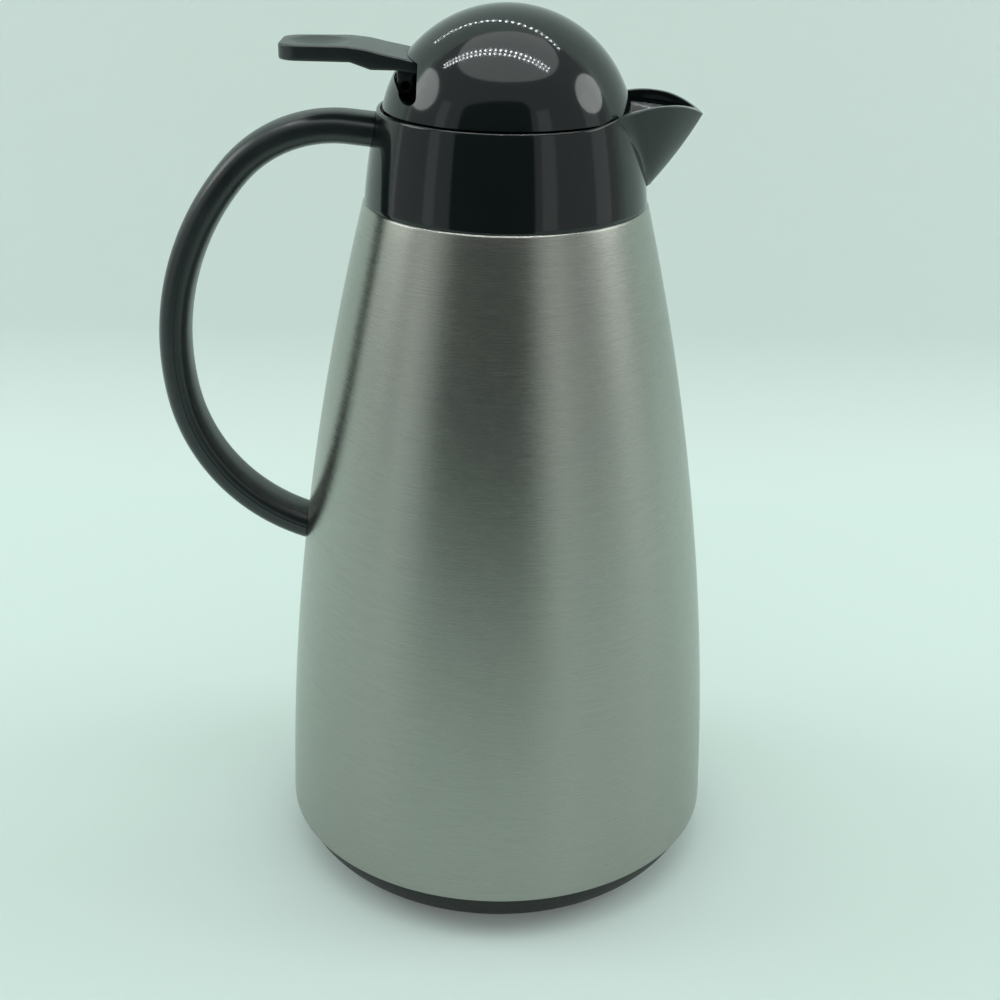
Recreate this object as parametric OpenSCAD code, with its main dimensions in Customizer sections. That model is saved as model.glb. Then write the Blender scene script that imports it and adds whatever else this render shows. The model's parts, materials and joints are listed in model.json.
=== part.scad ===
// Thermal carafe with a flip lid, in millimetres. +Z is up, the spout points to +X and the handle to -X.
// The origin is where the axis of the body meets the surface that the carafe stands on.

/* [Steel body] */
// Largest outer radius of the steel body
shell_r_base = 71.2; // [67:0.1:75]
// Outer radius at the top lip of the steel body
shell_r_top = 43.2; // [42.6:0.1:45]
// Height of the lower edge above the table
shell_z_low = 14.6; // [13:0.1:17]
// Height of the top lip above the table
shell_z_top = 222.6; // [214:0.1:232]
// Height at which the curved side stands upright
shell_upright_z = 8; // [0:0.5:12]
// Thickness of the steel sheet
shell_wall = 0.6; // [0.5:0.05:0.9]
// Width of the lip that is turned in at the top
lip_w = 3; // [2.5:0.1:3.4]
// Width of the hem that is turned in at the lower edge
hem_w = 2.4; // [2:0.1:3]

/* [Base] */
// Outer radius of the ring that touches the table
foot_r = 57.6; // [54:0.1:60]
// Width of the ring that touches the table
foot_w = 3.6; // [3:0.1:6]
// Radius of the rounded underside of the base, in profile
base_round_r = 22; // [18:0.5:30]
// Wall of the base
base_wall = 2.4; // [2:0.1:3]
// Height of the dark joint between the steel and the base
base_joint = 0.6; // [0.4:0.1:1]
// Height of the upstand inside the steel
upstand_h = 11; // [8:0.5:14]
// Number of ribs inside the base
rib_count = 12; // [6:1:18]
// Thickness of a rib
rib_t = 1.8; // [1.2:0.1:2.4]
// Radius of the screwed plug in the base
plug_r = 33; // [28:0.5:36]
// Height of the screwed plug
plug_h = 18; // [14:0.5:20]
// Width of the grip bar across the plug
grip_w = 9; // [6:0.5:14]
// Depth of the dish on each side of the grip bar
grip_depth = 8; // [4:0.5:10]

/* [Vacuum liner] */
// Gap between the steel and the glass
liner_gap = 4.6; // [4:0.1:6]
// Thickness of each glass wall
glass_wall = 1.6; // [1.2:0.1:2]
// Width of the vacuum between the glass walls
vacuum_gap = 5; // [4:0.1:6]
// Height at which the domed bottom of the liner starts
liner_side_low = 54; // [50:1:60]
// Depth of the domed bottom of the liner
liner_dome_h = 27; // [24:0.5:28]
// Height at which the shoulder of the liner starts
liner_side_high = 184; // [175:1:188]
// Height of the shoulder of the liner
liner_shoulder_h = 20; // [17:0.5:22]
// Outer radius of the glass neck
neck_r = 23.5; // [22.5:0.1:24]
// Width of the gap between the glass walls in the neck
neck_gap = 1.4; // [1:0.1:1.6]
// Height of the top of the glass neck
neck_top = 224.4; // [224:0.1:225]
// Thickness of the rubber cushion under the liner
cushion_t = 4; // [3:0.5:5]
// Number of spacers between the glass walls
spacer_count = 3; // [3:1:6]

/* [Collar and spout] */
// Height of the collar from the steel lip to its rim
collar_h = 27.4; // [25:0.1:30]
// Outer radius of the collar at its lower edge
collar_r_low = 42.9; // [42:0.1:44]
// Outer radius of the collar at its rim
collar_r_top = 38.7; // [38.2:0.1:40]
// Radius of the slight outward curve of the collar
collar_bulge_r = 230; // [150:10:600]
// Wall of the collar
collar_wall = 2.2; // [1.8:0.1:2.6]
// Radius of the bore that takes the stopper
socket_r = 32.4; // [31.5:0.1:32.8]
// Wall of the sleeve round that bore
socket_wall = 2.4; // [2:0.1:2.8]
// Height of the floor of the bore above the steel lip
socket_floor = 5.8; // [5:0.1:6.5]
// Distance from the axis to the tip of the spout, at the height where the spout is cut
spout_reach = 62.5; // [58:0.1:66]
// Half width of the spout where it leaves the collar
spout_half_w = 16.2; // [13:0.1:17]
// Height of the foot of the spout above the steel lip
spout_foot = 4.4; // [3:0.1:8]
// Highest point of the rim of the spout above the rim of the collar
spout_rise = 3.6; // [2.5:0.1:5]
// Radius of the curve of the rim of the spout towards its tip, seen from the side
spout_rim_r = 21; // [19:0.1:30]
// Distance from the axis to the highest point of that rim
spout_crest_x = 45.5; // [44:0.1:49]
// Length over which the rim of the collar rises to that point
rim_swell_l = 23; // [18:0.5:25]
// Wall of the spout
spout_wall = 1.8; // [1.4:0.1:2.4]
// Number of screws that clamp the collar to the steel
clamp_screw_count = 3; // [3:1:4]

/* [Handle] */
// Distance from the axis to the start of the top bend
handle_x = 46.2; // [45:0.1:48]
// Height of the outer surface of the handle there, above the steel lip
handle_rise = 26.1; // [24:0.1:27]
// Direction in which the handle leaves the collar
handle_heading = 174; // [172:0.5:178]
// Radii of the outer surface in the three bends, from the top
handle_bend_r = [46.3, 90, 62];
// Angles of the three bends, from the top
handle_bend_a = [54.5, 52, 62];
// Thickness of the handle
handle_t = 9.8; // [9:0.1:11]
// Width of the handle
handle_w = 15; // [13:0.5:18]
// How much wider the handle is at its ends, as a share of its width
handle_swell = 0.12; // [0:0.02:0.3]
// Step from the handle in to its narrower cover
handle_crease = 0.3; // [0.1:0.1:0.6]
// Height of the tongue of the cover inside the handle
cover_tongue = 1.4; // [1:0.1:2]
// Distance from the outer surface to the side joint between the handle and its cover
handle_joint_t = 5.4; // [4.5:0.1:6]
// Wall of the hollow handle
handle_wall = 2.2; // [1.8:0.1:2.6]

/* [Lid] */
// Outer radius of the dome
dome_r = 38; // [37.6:0.1:38.3]
// Depth of the centre of the dome below the rim of the collar
dome_drop = 8; // [7:0.1:9]
// Wall of the dome
dome_wall = 2.2; // [1.8:0.1:2.6]
// Seam between the dome and the rim of the collar
dome_seam = 0.4; // [0.3:0.1:0.8]
// Distance of the hinge pin behind the axis
pin_x = 29.5; // [29:0.1:30]
// Height of the hinge pin above the rim of the collar
pin_rise = 8; // [7.5:0.1:8.5]
// Radius of the hinge pin
pin_r = 1.25; // [1:0.05:1.4]
// Radius of the knuckles round the pin
knuckle_r = 2.4; // [2.2:0.1:2.6]
// How far the lid opens
lid_open = 22; // [16:1:23]
// Radius of the rounded bottom of the notch in the back of the dome
notch_r = 2.8; // [2.6:0.1:3]
// Distance of the rounded bottom of the notch behind the axis
notch_x = 28.5; // [28.3:0.1:28.7]
// Height of the lowest point of the notch above the rim of the collar
notch_rise = 4.3; // [4:0.1:4.6]

/* [Thumb lever] */
// Distance from the axis to the end of the lever
lever_reach = 66.7; // [60:0.1:69]
// Height of the flat top of the lever above the rim of the collar
lever_rise = 18.8; // [18.4:0.1:20]
// Thickness of the lever
lever_t = 4.5; // [4:0.1:5]
// Width of the lever at the dome
lever_w = 25; // [23:0.5:26]
// Width of the lever near its end
lever_tip_w = 21; // [18:0.5:23]
// Radius of the thumb dish
dish_r = 9; // [7:0.5:9.5]
// Depth of the thumb dish
dish_depth = 1.4; // [0.8:0.1:1.8]

/* [Stopper] */
// Thickness of the stopper flange
flange_t = 3; // [2.6:0.1:3.4]
// Height of the stopper from its flange to the end of its neck plug
stopper_h = 32.6; // [30:0.1:34]
// Radius of the pouring bore
pour_r = 9; // [8:0.1:11]
// Radius of the plug that enters the glass neck
neck_plug_r = 17.4; // [16.8:0.1:17.5]
// Depth of the pouring dish in the top of the stopper
pour_dish = 4; // [3:0.1:4.5]
// Half width of the pouring channel
channel_half_w = 10; // [8:0.5:11]
// Wire radius of the return spring
wire_r = 0.45; // [0.35:0.05:0.5]
// Number of turns of the return spring
spring_turns = 5; // [3:1:6]

/* [Clearances] */
// Gap between pieces that move against each other
move_gap = 0.3; // [0.25:0.05:0.4]
// Gap beside curved pieces that are fitted together
fit_gap = 0.1; // [0.05:0.05:0.15]
// Running clearance of the hinge pin
pin_gap = 0.05; // [0.03:0.01:0.08]

/* [Hidden] */
$fn = 96;

// Points along the profiles of the revolved pieces
profile_steps = 28;
// Steps of each bend of the handle and of half its section
bend_steps = 9;
section_steps = 12;
// Below 1, the section of the handle is squarer than an ellipse
section_power = 0.78;
// How far the handle is drawn past the face of the steel, before it is cut to that face
handle_tail_l = 9;
// A length that is sure to pass through any piece
far = 400;
// How far a cut runs past the face it opens
over = 1;

black = "#1b1c1e";
gloss_black = "#0d0e10";
steel = "#a9aca3";
glass = "#c3cdc9";
rubber = "#3a3a3a";
zinc = "#c8c8c8";

// Steel body: one arc in profile, upright at shell_upright_z
shell_drop = shell_r_base - shell_r_top;
shell_span = shell_z_top - shell_upright_z;
shell_arc_r = (pow(shell_span, 2) + pow(shell_drop, 2)) / (2 * shell_drop);
lip_r = shell_r_top - lip_w;

// Heights that the other pieces take from the steel body
rim_z = shell_z_top + collar_h;
floor_z = shell_z_top + socket_floor;
dome_z = rim_z - dome_drop;
dome_low_z = rim_z + dome_seam;
pin_z = rim_z + pin_rise;
lever_z = rim_z + lever_rise;

function shell_r(z) =
    shell_r_base - shell_arc_r + sqrt(pow(shell_arc_r, 2) - pow(z - shell_upright_z, 2));

// Points of the steel profile between two heights, moved in by inset
function shell_points(inset, z_from, z_to) = [
    for (i = [0:profile_steps])
        let (z = z_from + (z_to - z_from) * i / profile_steps)
        [shell_r(z) - inset, z]
];

function arc_points(centre, r, from, to, steps) = [
    for (i = [0:steps])
        let (a = from + (to - from) * i / steps)
        centre + r * [cos(a), sin(a)]
];

// Centre of the arc of radius r that bulges to the right of the way from a to b
function arc_centre(a, b, r) =
    let (half = norm(b - a) / 2, along = (b - a) / norm(b - a), side = [-along[1], along[0]])
    (a + b) / 2 + side * sqrt(r * r - half * half);

function heading_of(centre, point) = atan2(point[1] - centre[1], point[0] - centre[0]);

// Extrudes an outline drawn in X and Z evenly to both sides of the XZ plane
module side_extrude(width) {
    rotate([90, 0, 0])
        linear_extrude(height = width, center = true)
            children();
}

// A ring with a plain rectangular section
module ring(r_in, r_out, z_from, z_to) {
    translate([0, 0, z_from])
        difference() {
            cylinder(r = r_out, h = z_to - z_from);
            translate([0, 0, -over])
                cylinder(r = r_in, h = z_to - z_from + 2 * over);
        }
}

// Shank radius of the screws, and of the holes that they cut their thread in
thread_bite = 0.05;
screw_r = 1.5;
pilot_r = screw_r + thread_bite;
screw_head_r = 3;
screw_head_h = 1.8;
small_screw_r = 1.2;
small_pilot_r = small_screw_r + thread_bite;
small_head_r = 2.4;
small_head_h = 1.6;

// A pan-head screw standing on its head at the origin
module screw(shank_r, shank_l, head_r, head_h) {
    slot_w = shank_r * 0.6;
    difference() {
        union() {
            cylinder(r = head_r, h = head_h);
            cylinder(r = shank_r, h = head_h + shank_l - shank_r);
            translate([0, 0, head_h + shank_l - shank_r])
                cylinder(r1 = shank_r, r2 = shank_r / 3, h = shank_r);
        }
        for (turn = [0, 90])
            rotate([0, 0, turn])
                cube([head_r, slot_w, head_h], center = true);
    }
}

// Steel body
module outer_shell() {
    color(steel)
        difference() {
            rotate_extrude($fn = 180)
                union() {
                    polygon(concat(
                        shell_points(0, shell_z_low, shell_z_top),
                        [for (i = [0:profile_steps])
                            shell_points(shell_wall, shell_z_low, shell_z_top)[profile_steps - i]]
                    ));
                    translate([lip_r, shell_z_top - shell_wall])
                        square([lip_w - shell_wall / 2, shell_wall]);
                    translate([shell_r(shell_z_low) - hem_w, shell_z_low])
                        square([hem_w - shell_wall / 2, shell_wall]);
                }
            low_screw_hole();
        }
}

// Base: a rounded cup that is pressed into the steel from below
base_top = shell_z_low - base_joint;
base_step = 1.3;
base_r = shell_r(shell_z_low) - base_step;
base_side = arc_centre([foot_r, 0], [base_r, base_top], base_round_r);
upstand_r = shell_r(shell_z_low) - hem_w - fit_gap;
web_z = 4;
web_t = 2.4;
boss_wall = 3;

module base_profile(inset) {
    polygon(concat(
        [[0, inset]],
        arc_points(base_side, base_round_r - inset, heading_of(base_side, [foot_r, 0]),
            heading_of(base_side, [base_r, base_top]), 14),
        [[0, base_top]]
    ));
}

module base_cup() {
    hub_r = plug_r + fit_gap;
    color(black)
        union() {
            rotate_extrude()
                difference() {
                    union() {
                        base_profile(0);
                        translate([0, base_top - web_t])
                            square([upstand_r, shell_z_low + upstand_h - base_top + web_t]);
                    }
                    // Open inside of the cup, above the web
                    intersection() {
                        union() {
                            base_profile(base_wall);
                            translate([0, base_top - over])
                                square([upstand_r - base_wall, far]);
                        }
                        translate([hub_r + boss_wall, web_z + web_t])
                            square([upstand_r - base_wall - hub_r - boss_wall, far]);
                    }
                    // Recess below the web, inside the foot ring
                    translate([hub_r + boss_wall, -over])
                        square([foot_r - foot_w - hub_r - boss_wall, web_z + over]);
                    // Threaded bore for the plug
                    translate([0, -over])
                        square([hub_r, far]);
                    translate([0, plug_h + web_z])
                        square([hub_r + boss_wall, far]);
                }
            intersection() {
                rotate_extrude()
                    base_profile(base_wall / 2);
                for (i = [0:rib_count - 1])
                    rotate([0, 0, (i + 0.5) * 360 / rib_count])
                        translate([hub_r + boss_wall / 2, -rib_t / 2, web_z + web_t / 2])
                            cube([far, rib_t, base_top - web_z - web_t]);
            }
        }
}

// Screwed plug that presses the liner up against its neck gasket
plug_rim_w = 4;

module base_plug() {
    color(black)
        difference() {
            cylinder(r = plug_r, h = plug_h);
            // Dish under the plug, left open on each side of the grip bar
            difference() {
                translate([0, 0, -over])
                    cylinder(r = plug_r - plug_rim_w, h = grip_depth + over);
                translate([-plug_r, -grip_w / 2, -2 * over])
                    cube([2 * plug_r, grip_w, grip_depth + 3 * over]);
            }
            // Seat of the cushion
            translate([0, 0, grip_depth + base_wall])
                cylinder(r = plug_r - base_wall, h = plug_h);
        }
}

// Vacuum liner: two glass walls that are joined at the top of the neck
liner_inset = shell_wall + liner_gap;
liner_low_z = liner_side_low - liner_dome_h;

function liner_dome(steps) = [
    for (i = [0:steps])
        let (a = 90 * i / steps)
        [(shell_r(liner_side_low) - liner_inset) * sin(a), liner_side_low - liner_dome_h * cos(a)]
];

function liner_shoulder(steps) =
    let (wide = shell_r(liner_side_high) - liner_inset)
    [for (i = [1:steps])
        let (t = i / steps)
        [neck_r + (wide - neck_r) * (1 + cos(180 * t)) / 2, liner_side_high + liner_shoulder_h * t]];

module liner_profile(inset) {
    offset(delta = -inset)
        polygon(concat(
            liner_dome(14),
            shell_points(liner_inset, liner_side_low, liner_side_high),
            liner_shoulder(12),
            [[neck_r, neck_top + far / 4], [-far / 8, neck_top + far / 4], [-far / 8, liner_low_z]]
        ));
}

// Keeps a profile on the right side of the axis, below a height
module trimmed(top) {
    intersection() {
        children();
        square([far, top]);
    }
}

inner_wall_inset = glass_wall + vacuum_gap;
neck_in_r = neck_r - glass_wall - neck_gap - glass_wall;
lip_z = neck_top - 2 * glass_wall;

// The inner wall keeps its full gap in the body and the narrow gap in the neck
module inner_profile(inset) {
    union() {
        trimmed(liner_side_high + liner_shoulder_h)
            liner_profile(inner_wall_inset + inset);
        translate([0, liner_side_high])
            square([neck_r - glass_wall - neck_gap - inset, far]);
    }
}

module liner_outer() {
    color(glass)
        rotate_extrude()
            trimmed(lip_z)
                difference() {
                    liner_profile(0);
                    liner_profile(glass_wall);
                }
}

module liner_inner() {
    color(glass)
        rotate_extrude()
            union() {
                trimmed(lip_z + glass_wall)
                    difference() {
                        inner_profile(0);
                        inner_profile(glass_wall);
                    }
                translate([neck_in_r, lip_z])
                    square([neck_r - neck_in_r, 2 * glass_wall]);
            }
}

spacer_r = 5;

module liner_spacers() {
    color("#8c8474")
        for (i = [0:spacer_count - 1])
            rotate([0, 0, i * 360 / spacer_count])
                intersection() {
                    rotate_extrude()
                        trimmed(liner_side_high)
                            difference() {
                                liner_profile(glass_wall + fit_gap / 2);
                                liner_profile(inner_wall_inset - fit_gap / 2);
                            }
                    translate([0, 0, liner_side_low + 4 * spacer_r])
                        rotate([0, 90, 0])
                            cylinder(r = spacer_r, h = far);
                }
}

module liner_cushion() {
    seat_z = grip_depth + base_wall;
    cushion_r = plug_r - base_wall - fit_gap;
    color(rubber)
        rotate_extrude()
            difference() {
                translate([0, seat_z])
                    square([cushion_r, liner_low_z + cushion_t - seat_z]);
                offset(delta = fit_gap / 2)
                    intersection() {
                        liner_profile(0);
                        translate([-far / 8, 0])
                            square([far, liner_side_high]);
                    }
                translate([-over, seat_z + cushion_t])
                    square([cushion_r / 2 + over, far]);
            }
}

deck_r = neck_in_r + 1.6;

neck_gasket_t = floor_z - socket_wall - neck_top;

module neck_gasket() {
    color(rubber)
        union() {
            ring(neck_in_r + move_gap, neck_r + neck_gasket_t, neck_top, neck_top + neck_gasket_t);
            ring(neck_r + fit_gap, neck_r + neck_gasket_t, neck_top - 4 * neck_gasket_t, neck_top);
        }
}

// Collar: one moulding with the sleeve for the stopper and the spout
skirt_r = lip_r - fit_gap;
skirt_h = 8;
skirt_z = shell_z_top - skirt_h;
skirt_wall = 2;
flange_z = rim_z - dome_seam - flange_t;
flange_step = 1.6;
flange_r = socket_r + flange_step;
boss_r = 3.4;
boss_h = 25;
boss_at = socket_r + socket_wall + boss_r / 2 - fit_gap;
clamp_start = 90;
clamp_ring_t = 3;
clamp_screw_l = 14;
clamp_head_h = 2;
collar_side = arc_centre([collar_r_low, shell_z_top], [collar_r_top, rim_z], collar_bulge_r);

module collar_profile(inset) {
    polygon(concat(
        [[0, shell_z_top - inset]],
        arc_points(collar_side, collar_bulge_r - inset, heading_of(collar_side,
            [collar_r_low, shell_z_top]), heading_of(collar_side, [collar_r_top, rim_z]), 8),
        [[0, rim_z]]
    ));
}

module collar_body() {
    sleeve_r = socket_r + socket_wall;
    rotate_extrude()
        difference() {
            union() {
                collar_profile(0);
                translate([skirt_r - skirt_wall, skirt_z])
                    square([skirt_wall, shell_z_top - skirt_z + over]);
            }
            // Bore, flange seat and neck hole
            translate([0, floor_z])
                square([socket_r, far]);
            translate([0, flange_z])
                square([flange_r + move_gap, far]);
            square([deck_r, far]);
            // Space under the floor, for the gasket and the neck
            square([sleeve_r, floor_z - socket_wall]);
            // Hollow between the sleeve and the outer wall, open below
            intersection() {
                collar_profile(collar_wall);
                translate([sleeve_r, skirt_z])
                    square([far, flange_z - socket_wall - skirt_z]);
            }
        }
}

// Pointed plan of the spout, from its root to its tip
module spout_plan(half_w, reach, root) {
    length = reach - root;
    side_r = (length * length + half_w * half_w) / (2 * half_w);
    intersection() {
        translate([root, half_w - side_r])
            circle(r = side_r);
        translate([root, side_r - half_w])
            circle(r = side_r);
        translate([root - half_w / 4, -half_w])
            square([reach, 2 * half_w]);
    }
}

spout_root = collar_r_top - 3;
spout_cut_z = rim_z + spout_rise + 0.4;
spout_keel_r = 1.2;
spout_throat_r = 5;
trough_depth = 9;
trough_low_z = rim_z - trough_depth;
trough_r = 2;
// Thickness of the thin slices that a hull is drawn between
slice = 0.1;

module spout_outer() {
    hull() {
        translate([0, 0, spout_cut_z])
            linear_extrude(height = slice)
                spout_plan(spout_half_w, spout_reach, spout_root, $fn = 96);
        translate([collar_r_low - collar_wall, 0, shell_z_top + spout_foot])
            cylinder(r = spout_keel_r, h = slice, $fn = 16);
        translate([spout_root - collar_wall, 0, trough_low_z - over])
            cylinder(r = spout_throat_r, h = over, $fn = 16);
    }
}

module spout_trough() {
    hull() {
        translate([0, 0, spout_cut_z + over])
            linear_extrude(height = slice)
                spout_plan(spout_half_w - spout_wall, spout_reach - 2 * spout_wall, spout_root,
                    $fn = 96);
        translate([collar_r_top + over, 0, trough_low_z])
            cylinder(r = trough_r, h = slice, $fn = 16);
        translate([socket_r - trough_r, -channel_half_w / 2, trough_low_z + trough_r])
            cube([trough_r, channel_half_w, over]);
    }
}

// All that is below the rim, seen from the side: it swells up to a crest and falls to the tip
module rim_side() {
    swell_x = spout_crest_x - rim_swell_l;
    side_extrude(far)
        polygon(concat(
            [[swell_x, 0]],
            [for (i = [0:profile_steps])
                let (t = i / profile_steps)
                [swell_x + rim_swell_l * t, rim_z + spout_rise * t * t * (3 - 2 * t)]],
            arc_points([spout_crest_x, rim_z + spout_rise - spout_rim_r], spout_rim_r, 90 - slice,
                0, profile_steps),
            [[spout_crest_x + spout_rim_r, 0]]
        ));
}

// Room for the back edge of the dome, which dips below the rim when the lid opens
module dip_relief() {
    intersection() {
        translate([0, 0, rim_z - skirt_h])
            cylinder(r = dome_low_r + move_gap, h = skirt_h + over);
        translate([-pin_x, 0, pin_z])
            rotate([0, -lid_open, 0])
                translate([-far, -far / 2, dome_low_z - pin_z - move_gap])
                    cube([far, far, far]);
    }
}

dome_low_r = sqrt(pow(dome_r, 2) - pow(dome_low_z - dome_z, 2));

module collar() {
    color(gloss_black)
        difference() {
            union() {
                collar_body();
                intersection() {
                    union() {
                        spout_outer();
                        ring(flange_r, collar_r_top, rim_z - over, rim_z + spout_rise);
                    }
                    rim_side();
                }
                for (i = [0:clamp_screw_count - 1])
                    rotate([0, 0, clamp_start + i * 360 / clamp_screw_count])
                        translate([boss_at, 0, skirt_z])
                            cylinder(r = boss_r, h = boss_h);
                translate([-socket_r - over, 0, top_screw_z])
                    rotate([0, -90, 0])
                        cylinder(r = top_boss_r, h = collar_r_top - socket_r - collar_wall);
            }
            // Bore and flange seat again, through the spout
            translate([0, 0, floor_z])
                cylinder(r = socket_r, h = far);
            translate([0, 0, flange_z])
                cylinder(r = flange_r + move_gap, h = far);
            translate([0, 0, rim_z])
                cylinder(r = dome_low_r + 2 * move_gap, h = far);
            spout_trough();
            dip_relief();
            for (i = [0:clamp_screw_count - 1])
                rotate([0, 0, clamp_start + i * 360 / clamp_screw_count])
                    translate([boss_at, 0, skirt_z - over])
                        cylinder(r = pilot_r, h = clamp_screw_l - clamp_ring_t + 2 * over);
            top_screw_room();
        }
}

// Ring that clamps the steel lip against the collar from inside
module clamp_ring() {
    ring_r = shell_r_top - shell_wall;
    color(black)
        difference() {
            union() {
                ring(boss_at - boss_r - fit_gap, ring_r, skirt_z - clamp_ring_t, skirt_z);
                ring(skirt_r + fit_gap, shell_r_top - shell_wall - 2 * fit_gap, skirt_z - over,
                    shell_z_top - shell_wall);
            }
            for (i = [0:clamp_screw_count - 1])
                rotate([0, 0, clamp_start + i * 360 / clamp_screw_count])
                    translate([boss_at, 0, skirt_z - clamp_ring_t - over])
                        cylinder(r = screw_r + 3 * fit_gap, h = clamp_ring_t + 2 * over);
        }
}

module clamp_screws() {
    color(zinc)
        for (i = [0:clamp_screw_count - 1])
            rotate([0, 0, clamp_start + i * 360 / clamp_screw_count])
                translate([boss_at, 0, skirt_z - clamp_ring_t - clamp_head_h])
                    screw(screw_r, clamp_screw_l, screw_head_r, clamp_head_h);
}

// Handle: three bends that run into each other, in the XZ plane
handle_top_z = shell_z_top + handle_rise;

// Centre of each bend, from the start point and heading of that bend
function bend_centre(at, heading, r) = at + r * [-sin(heading), cos(heading)];
function bend_end(at, heading, r, a) =
    bend_centre(at, heading, r) + r * [sin(heading + a), -cos(heading + a)];

bend_1_at = [-handle_x, handle_top_z];
bend_2_at = bend_end(bend_1_at, handle_heading, handle_bend_r[0], handle_bend_a[0]);
heading_2 = handle_heading + handle_bend_a[0];
bend_3_at = bend_end(bend_2_at, heading_2, handle_bend_r[1], handle_bend_a[1]);
heading_3 = heading_2 + handle_bend_a[1];
handle_end_at = bend_end(bend_3_at, heading_3, handle_bend_r[2], handle_bend_a[2]);
heading_end = heading_3 + handle_bend_a[2];

// Stations along the outer surface: place, heading and how far along the handle, from 0 to 1
function bend_stations(at, heading, r, a, from, to) = [
    for (i = [1:bend_steps])
        let (h = heading + a * i / bend_steps)
        [bend_centre(at, heading, r) + r * [sin(h), -cos(h)], h, from + (to - from) * i / bend_steps]
];

handle_root_l = handle_x - collar_r_top + handle_tail_l / 2;
handle_gap_to_steel = (-handle_end_at[0] - shell_r(handle_end_at[1])) / cos(heading_end);
handle_stations = concat(
    [[bend_1_at - handle_root_l * [cos(handle_heading), sin(handle_heading)], handle_heading, 0]],
    [[bend_1_at, handle_heading, 0.05]],
    bend_stations(bend_1_at, handle_heading, handle_bend_r[0], handle_bend_a[0], 0.05, 0.35),
    bend_stations(bend_2_at, heading_2, handle_bend_r[1], handle_bend_a[1], 0.35, 0.7),
    bend_stations(bend_3_at, heading_3, handle_bend_r[2], handle_bend_a[2], 0.7, 0.95),
    [[handle_end_at + (handle_gap_to_steel + handle_tail_l) * [cos(heading_end), sin(heading_end)],
        heading_end, 1]]
);

// Sweeps an outline along the handle; its X runs inward from the outer surface, its Y across
module handle_sweep(outline) {
    count = len(outline);
    places = len(handle_stations);
    points = [
        for (station = handle_stations, p = outline)
            let (
                heading = station[1],
                swell = 1 + handle_swell * pow(2 * station[2] - 1, 2),
                at = station[0] + p[0] * [-sin(heading), cos(heading)]
            )
            [at[0], p[1] * swell, at[1]]
    ];
    polyhedron(points, concat(
        [[for (i = [0:count - 1]) i]],
        [for (k = [0:places - 2], i = [0:count - 1])
            [k * count + i, (k + 1) * count + i, (k + 1) * count + (i + 1) % count,
                k * count + (i + 1) % count]],
        [[for (i = [0:count - 1]) places * count - 1 - i]]
    ), convexity = 8);
}

module handle_run(outline) {
    difference() {
        handle_sweep(outline);
        body_envelope(fit_gap);
    }
}

// Everything inside the outer faces of the steel and the collar, grown by a gap
module body_envelope(gap) {
    rotate_extrude($fn = 180)
        union() {
            polygon(concat(
                [[0, shell_z_low]],
                shell_points(-gap, shell_z_low, shell_z_top),
                [[0, shell_z_top]]
            ));
            collar_profile(-gap);
        }
}

// Half of a rounded section, on the side of the joint that depth points to
function half_section(width, joint, depth) = [
    for (i = [0:section_steps])
        let (a = 180 * i / section_steps, side = a < 90 ? 1 : -1)
        [joint + depth * pow(sin(a), section_power), side * width / 2 * pow(abs(cos(a)), section_power)]
];

// Slope of the faces that meet at the joint, across the wall
joint_bevel = 0.2;
// Width of the channel inside the handle
channel_w = handle_w - 2 * handle_wall;

handle_outline = concat(
    half_section(handle_w, handle_joint_t, -handle_joint_t),
    [
        [handle_joint_t - joint_bevel, -channel_w / 2],
        [handle_wall, -channel_w / 2],
        [handle_wall, channel_w / 2],
        [handle_joint_t - joint_bevel, channel_w / 2]
    ]
);

cover_outline = concat(
    half_section(handle_w - 2 * handle_crease, handle_joint_t, handle_t - handle_joint_t),
    [
        [handle_joint_t + joint_bevel, fit_gap - channel_w / 2],
        [handle_joint_t - cover_tongue, fit_gap - channel_w / 2],
        [handle_joint_t - cover_tongue, channel_w / 2 - fit_gap],
        [handle_joint_t + joint_bevel, channel_w / 2 - fit_gap]
    ]
);

// Upper fixing of the handle, inside the bore of the collar: its screw runs in the cover
top_screw_z = handle_top_z - (handle_joint_t - cover_tongue + handle_t) / 2 + pilot_r / 4;
top_screw_l = 24;
top_boss_r = 4.5;

// Lower fixing of the handle: where its screw crosses the steel, and how far the steel leans there
plate_t = 1.6;
plate_w = 22;
plate_h = 26;
plate_back = shell_wall + plate_t;
plate_seat = 0.2;
low_bite = 6;
low_screw_depth = handle_t - pilot_r - 1;
low_at = handle_end_at + low_screw_depth * [-sin(heading_end), cos(heading_end)];
low_screw_z = low_at[1] - (low_at[0] + shell_r(low_at[1])) * tan(heading_end);
low_lean = asin((low_screw_z - shell_upright_z) / shell_arc_r);

module top_screw_room() {
    translate([-socket_r + over, 0, top_screw_z])
        rotate([0, -90, 0]) {
            cylinder(r = screw_head_r + move_gap, h = screw_head_h + 2 * fit_gap + over);
            cylinder(r = pilot_r, h = screw_head_h + top_screw_l + 2 * over);
        }
}

module low_screw_place() {
    translate([-shell_r(low_screw_z), 0, low_screw_z])
        rotate([0, -90 + low_lean, 0])
            children();
}

// Hole through the steel and the plate behind it, with a flat seat for the head
module low_screw_hole() {
    low_screw_place() {
        cylinder(r = screw_r + fit_gap, h = 4 * plate_back, center = true);
        translate([0, 0, plate_seat - plate_back - far / 4])
            cylinder(r = screw_head_r + fit_gap, h = far / 4);
    }
}

module handle_holes() {
    top_screw_room();
    low_screw_place()
        translate([0, 0, -over])
            cylinder(r = pilot_r, h = low_bite + 1.5 * over);
}

module handle() {
    color(gloss_black)
        difference() {
            handle_run(handle_outline);
            handle_holes();
        }
}

module handle_cover() {
    color(gloss_black)
        difference() {
            handle_run(cover_outline);
            handle_holes();
        }
}

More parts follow.
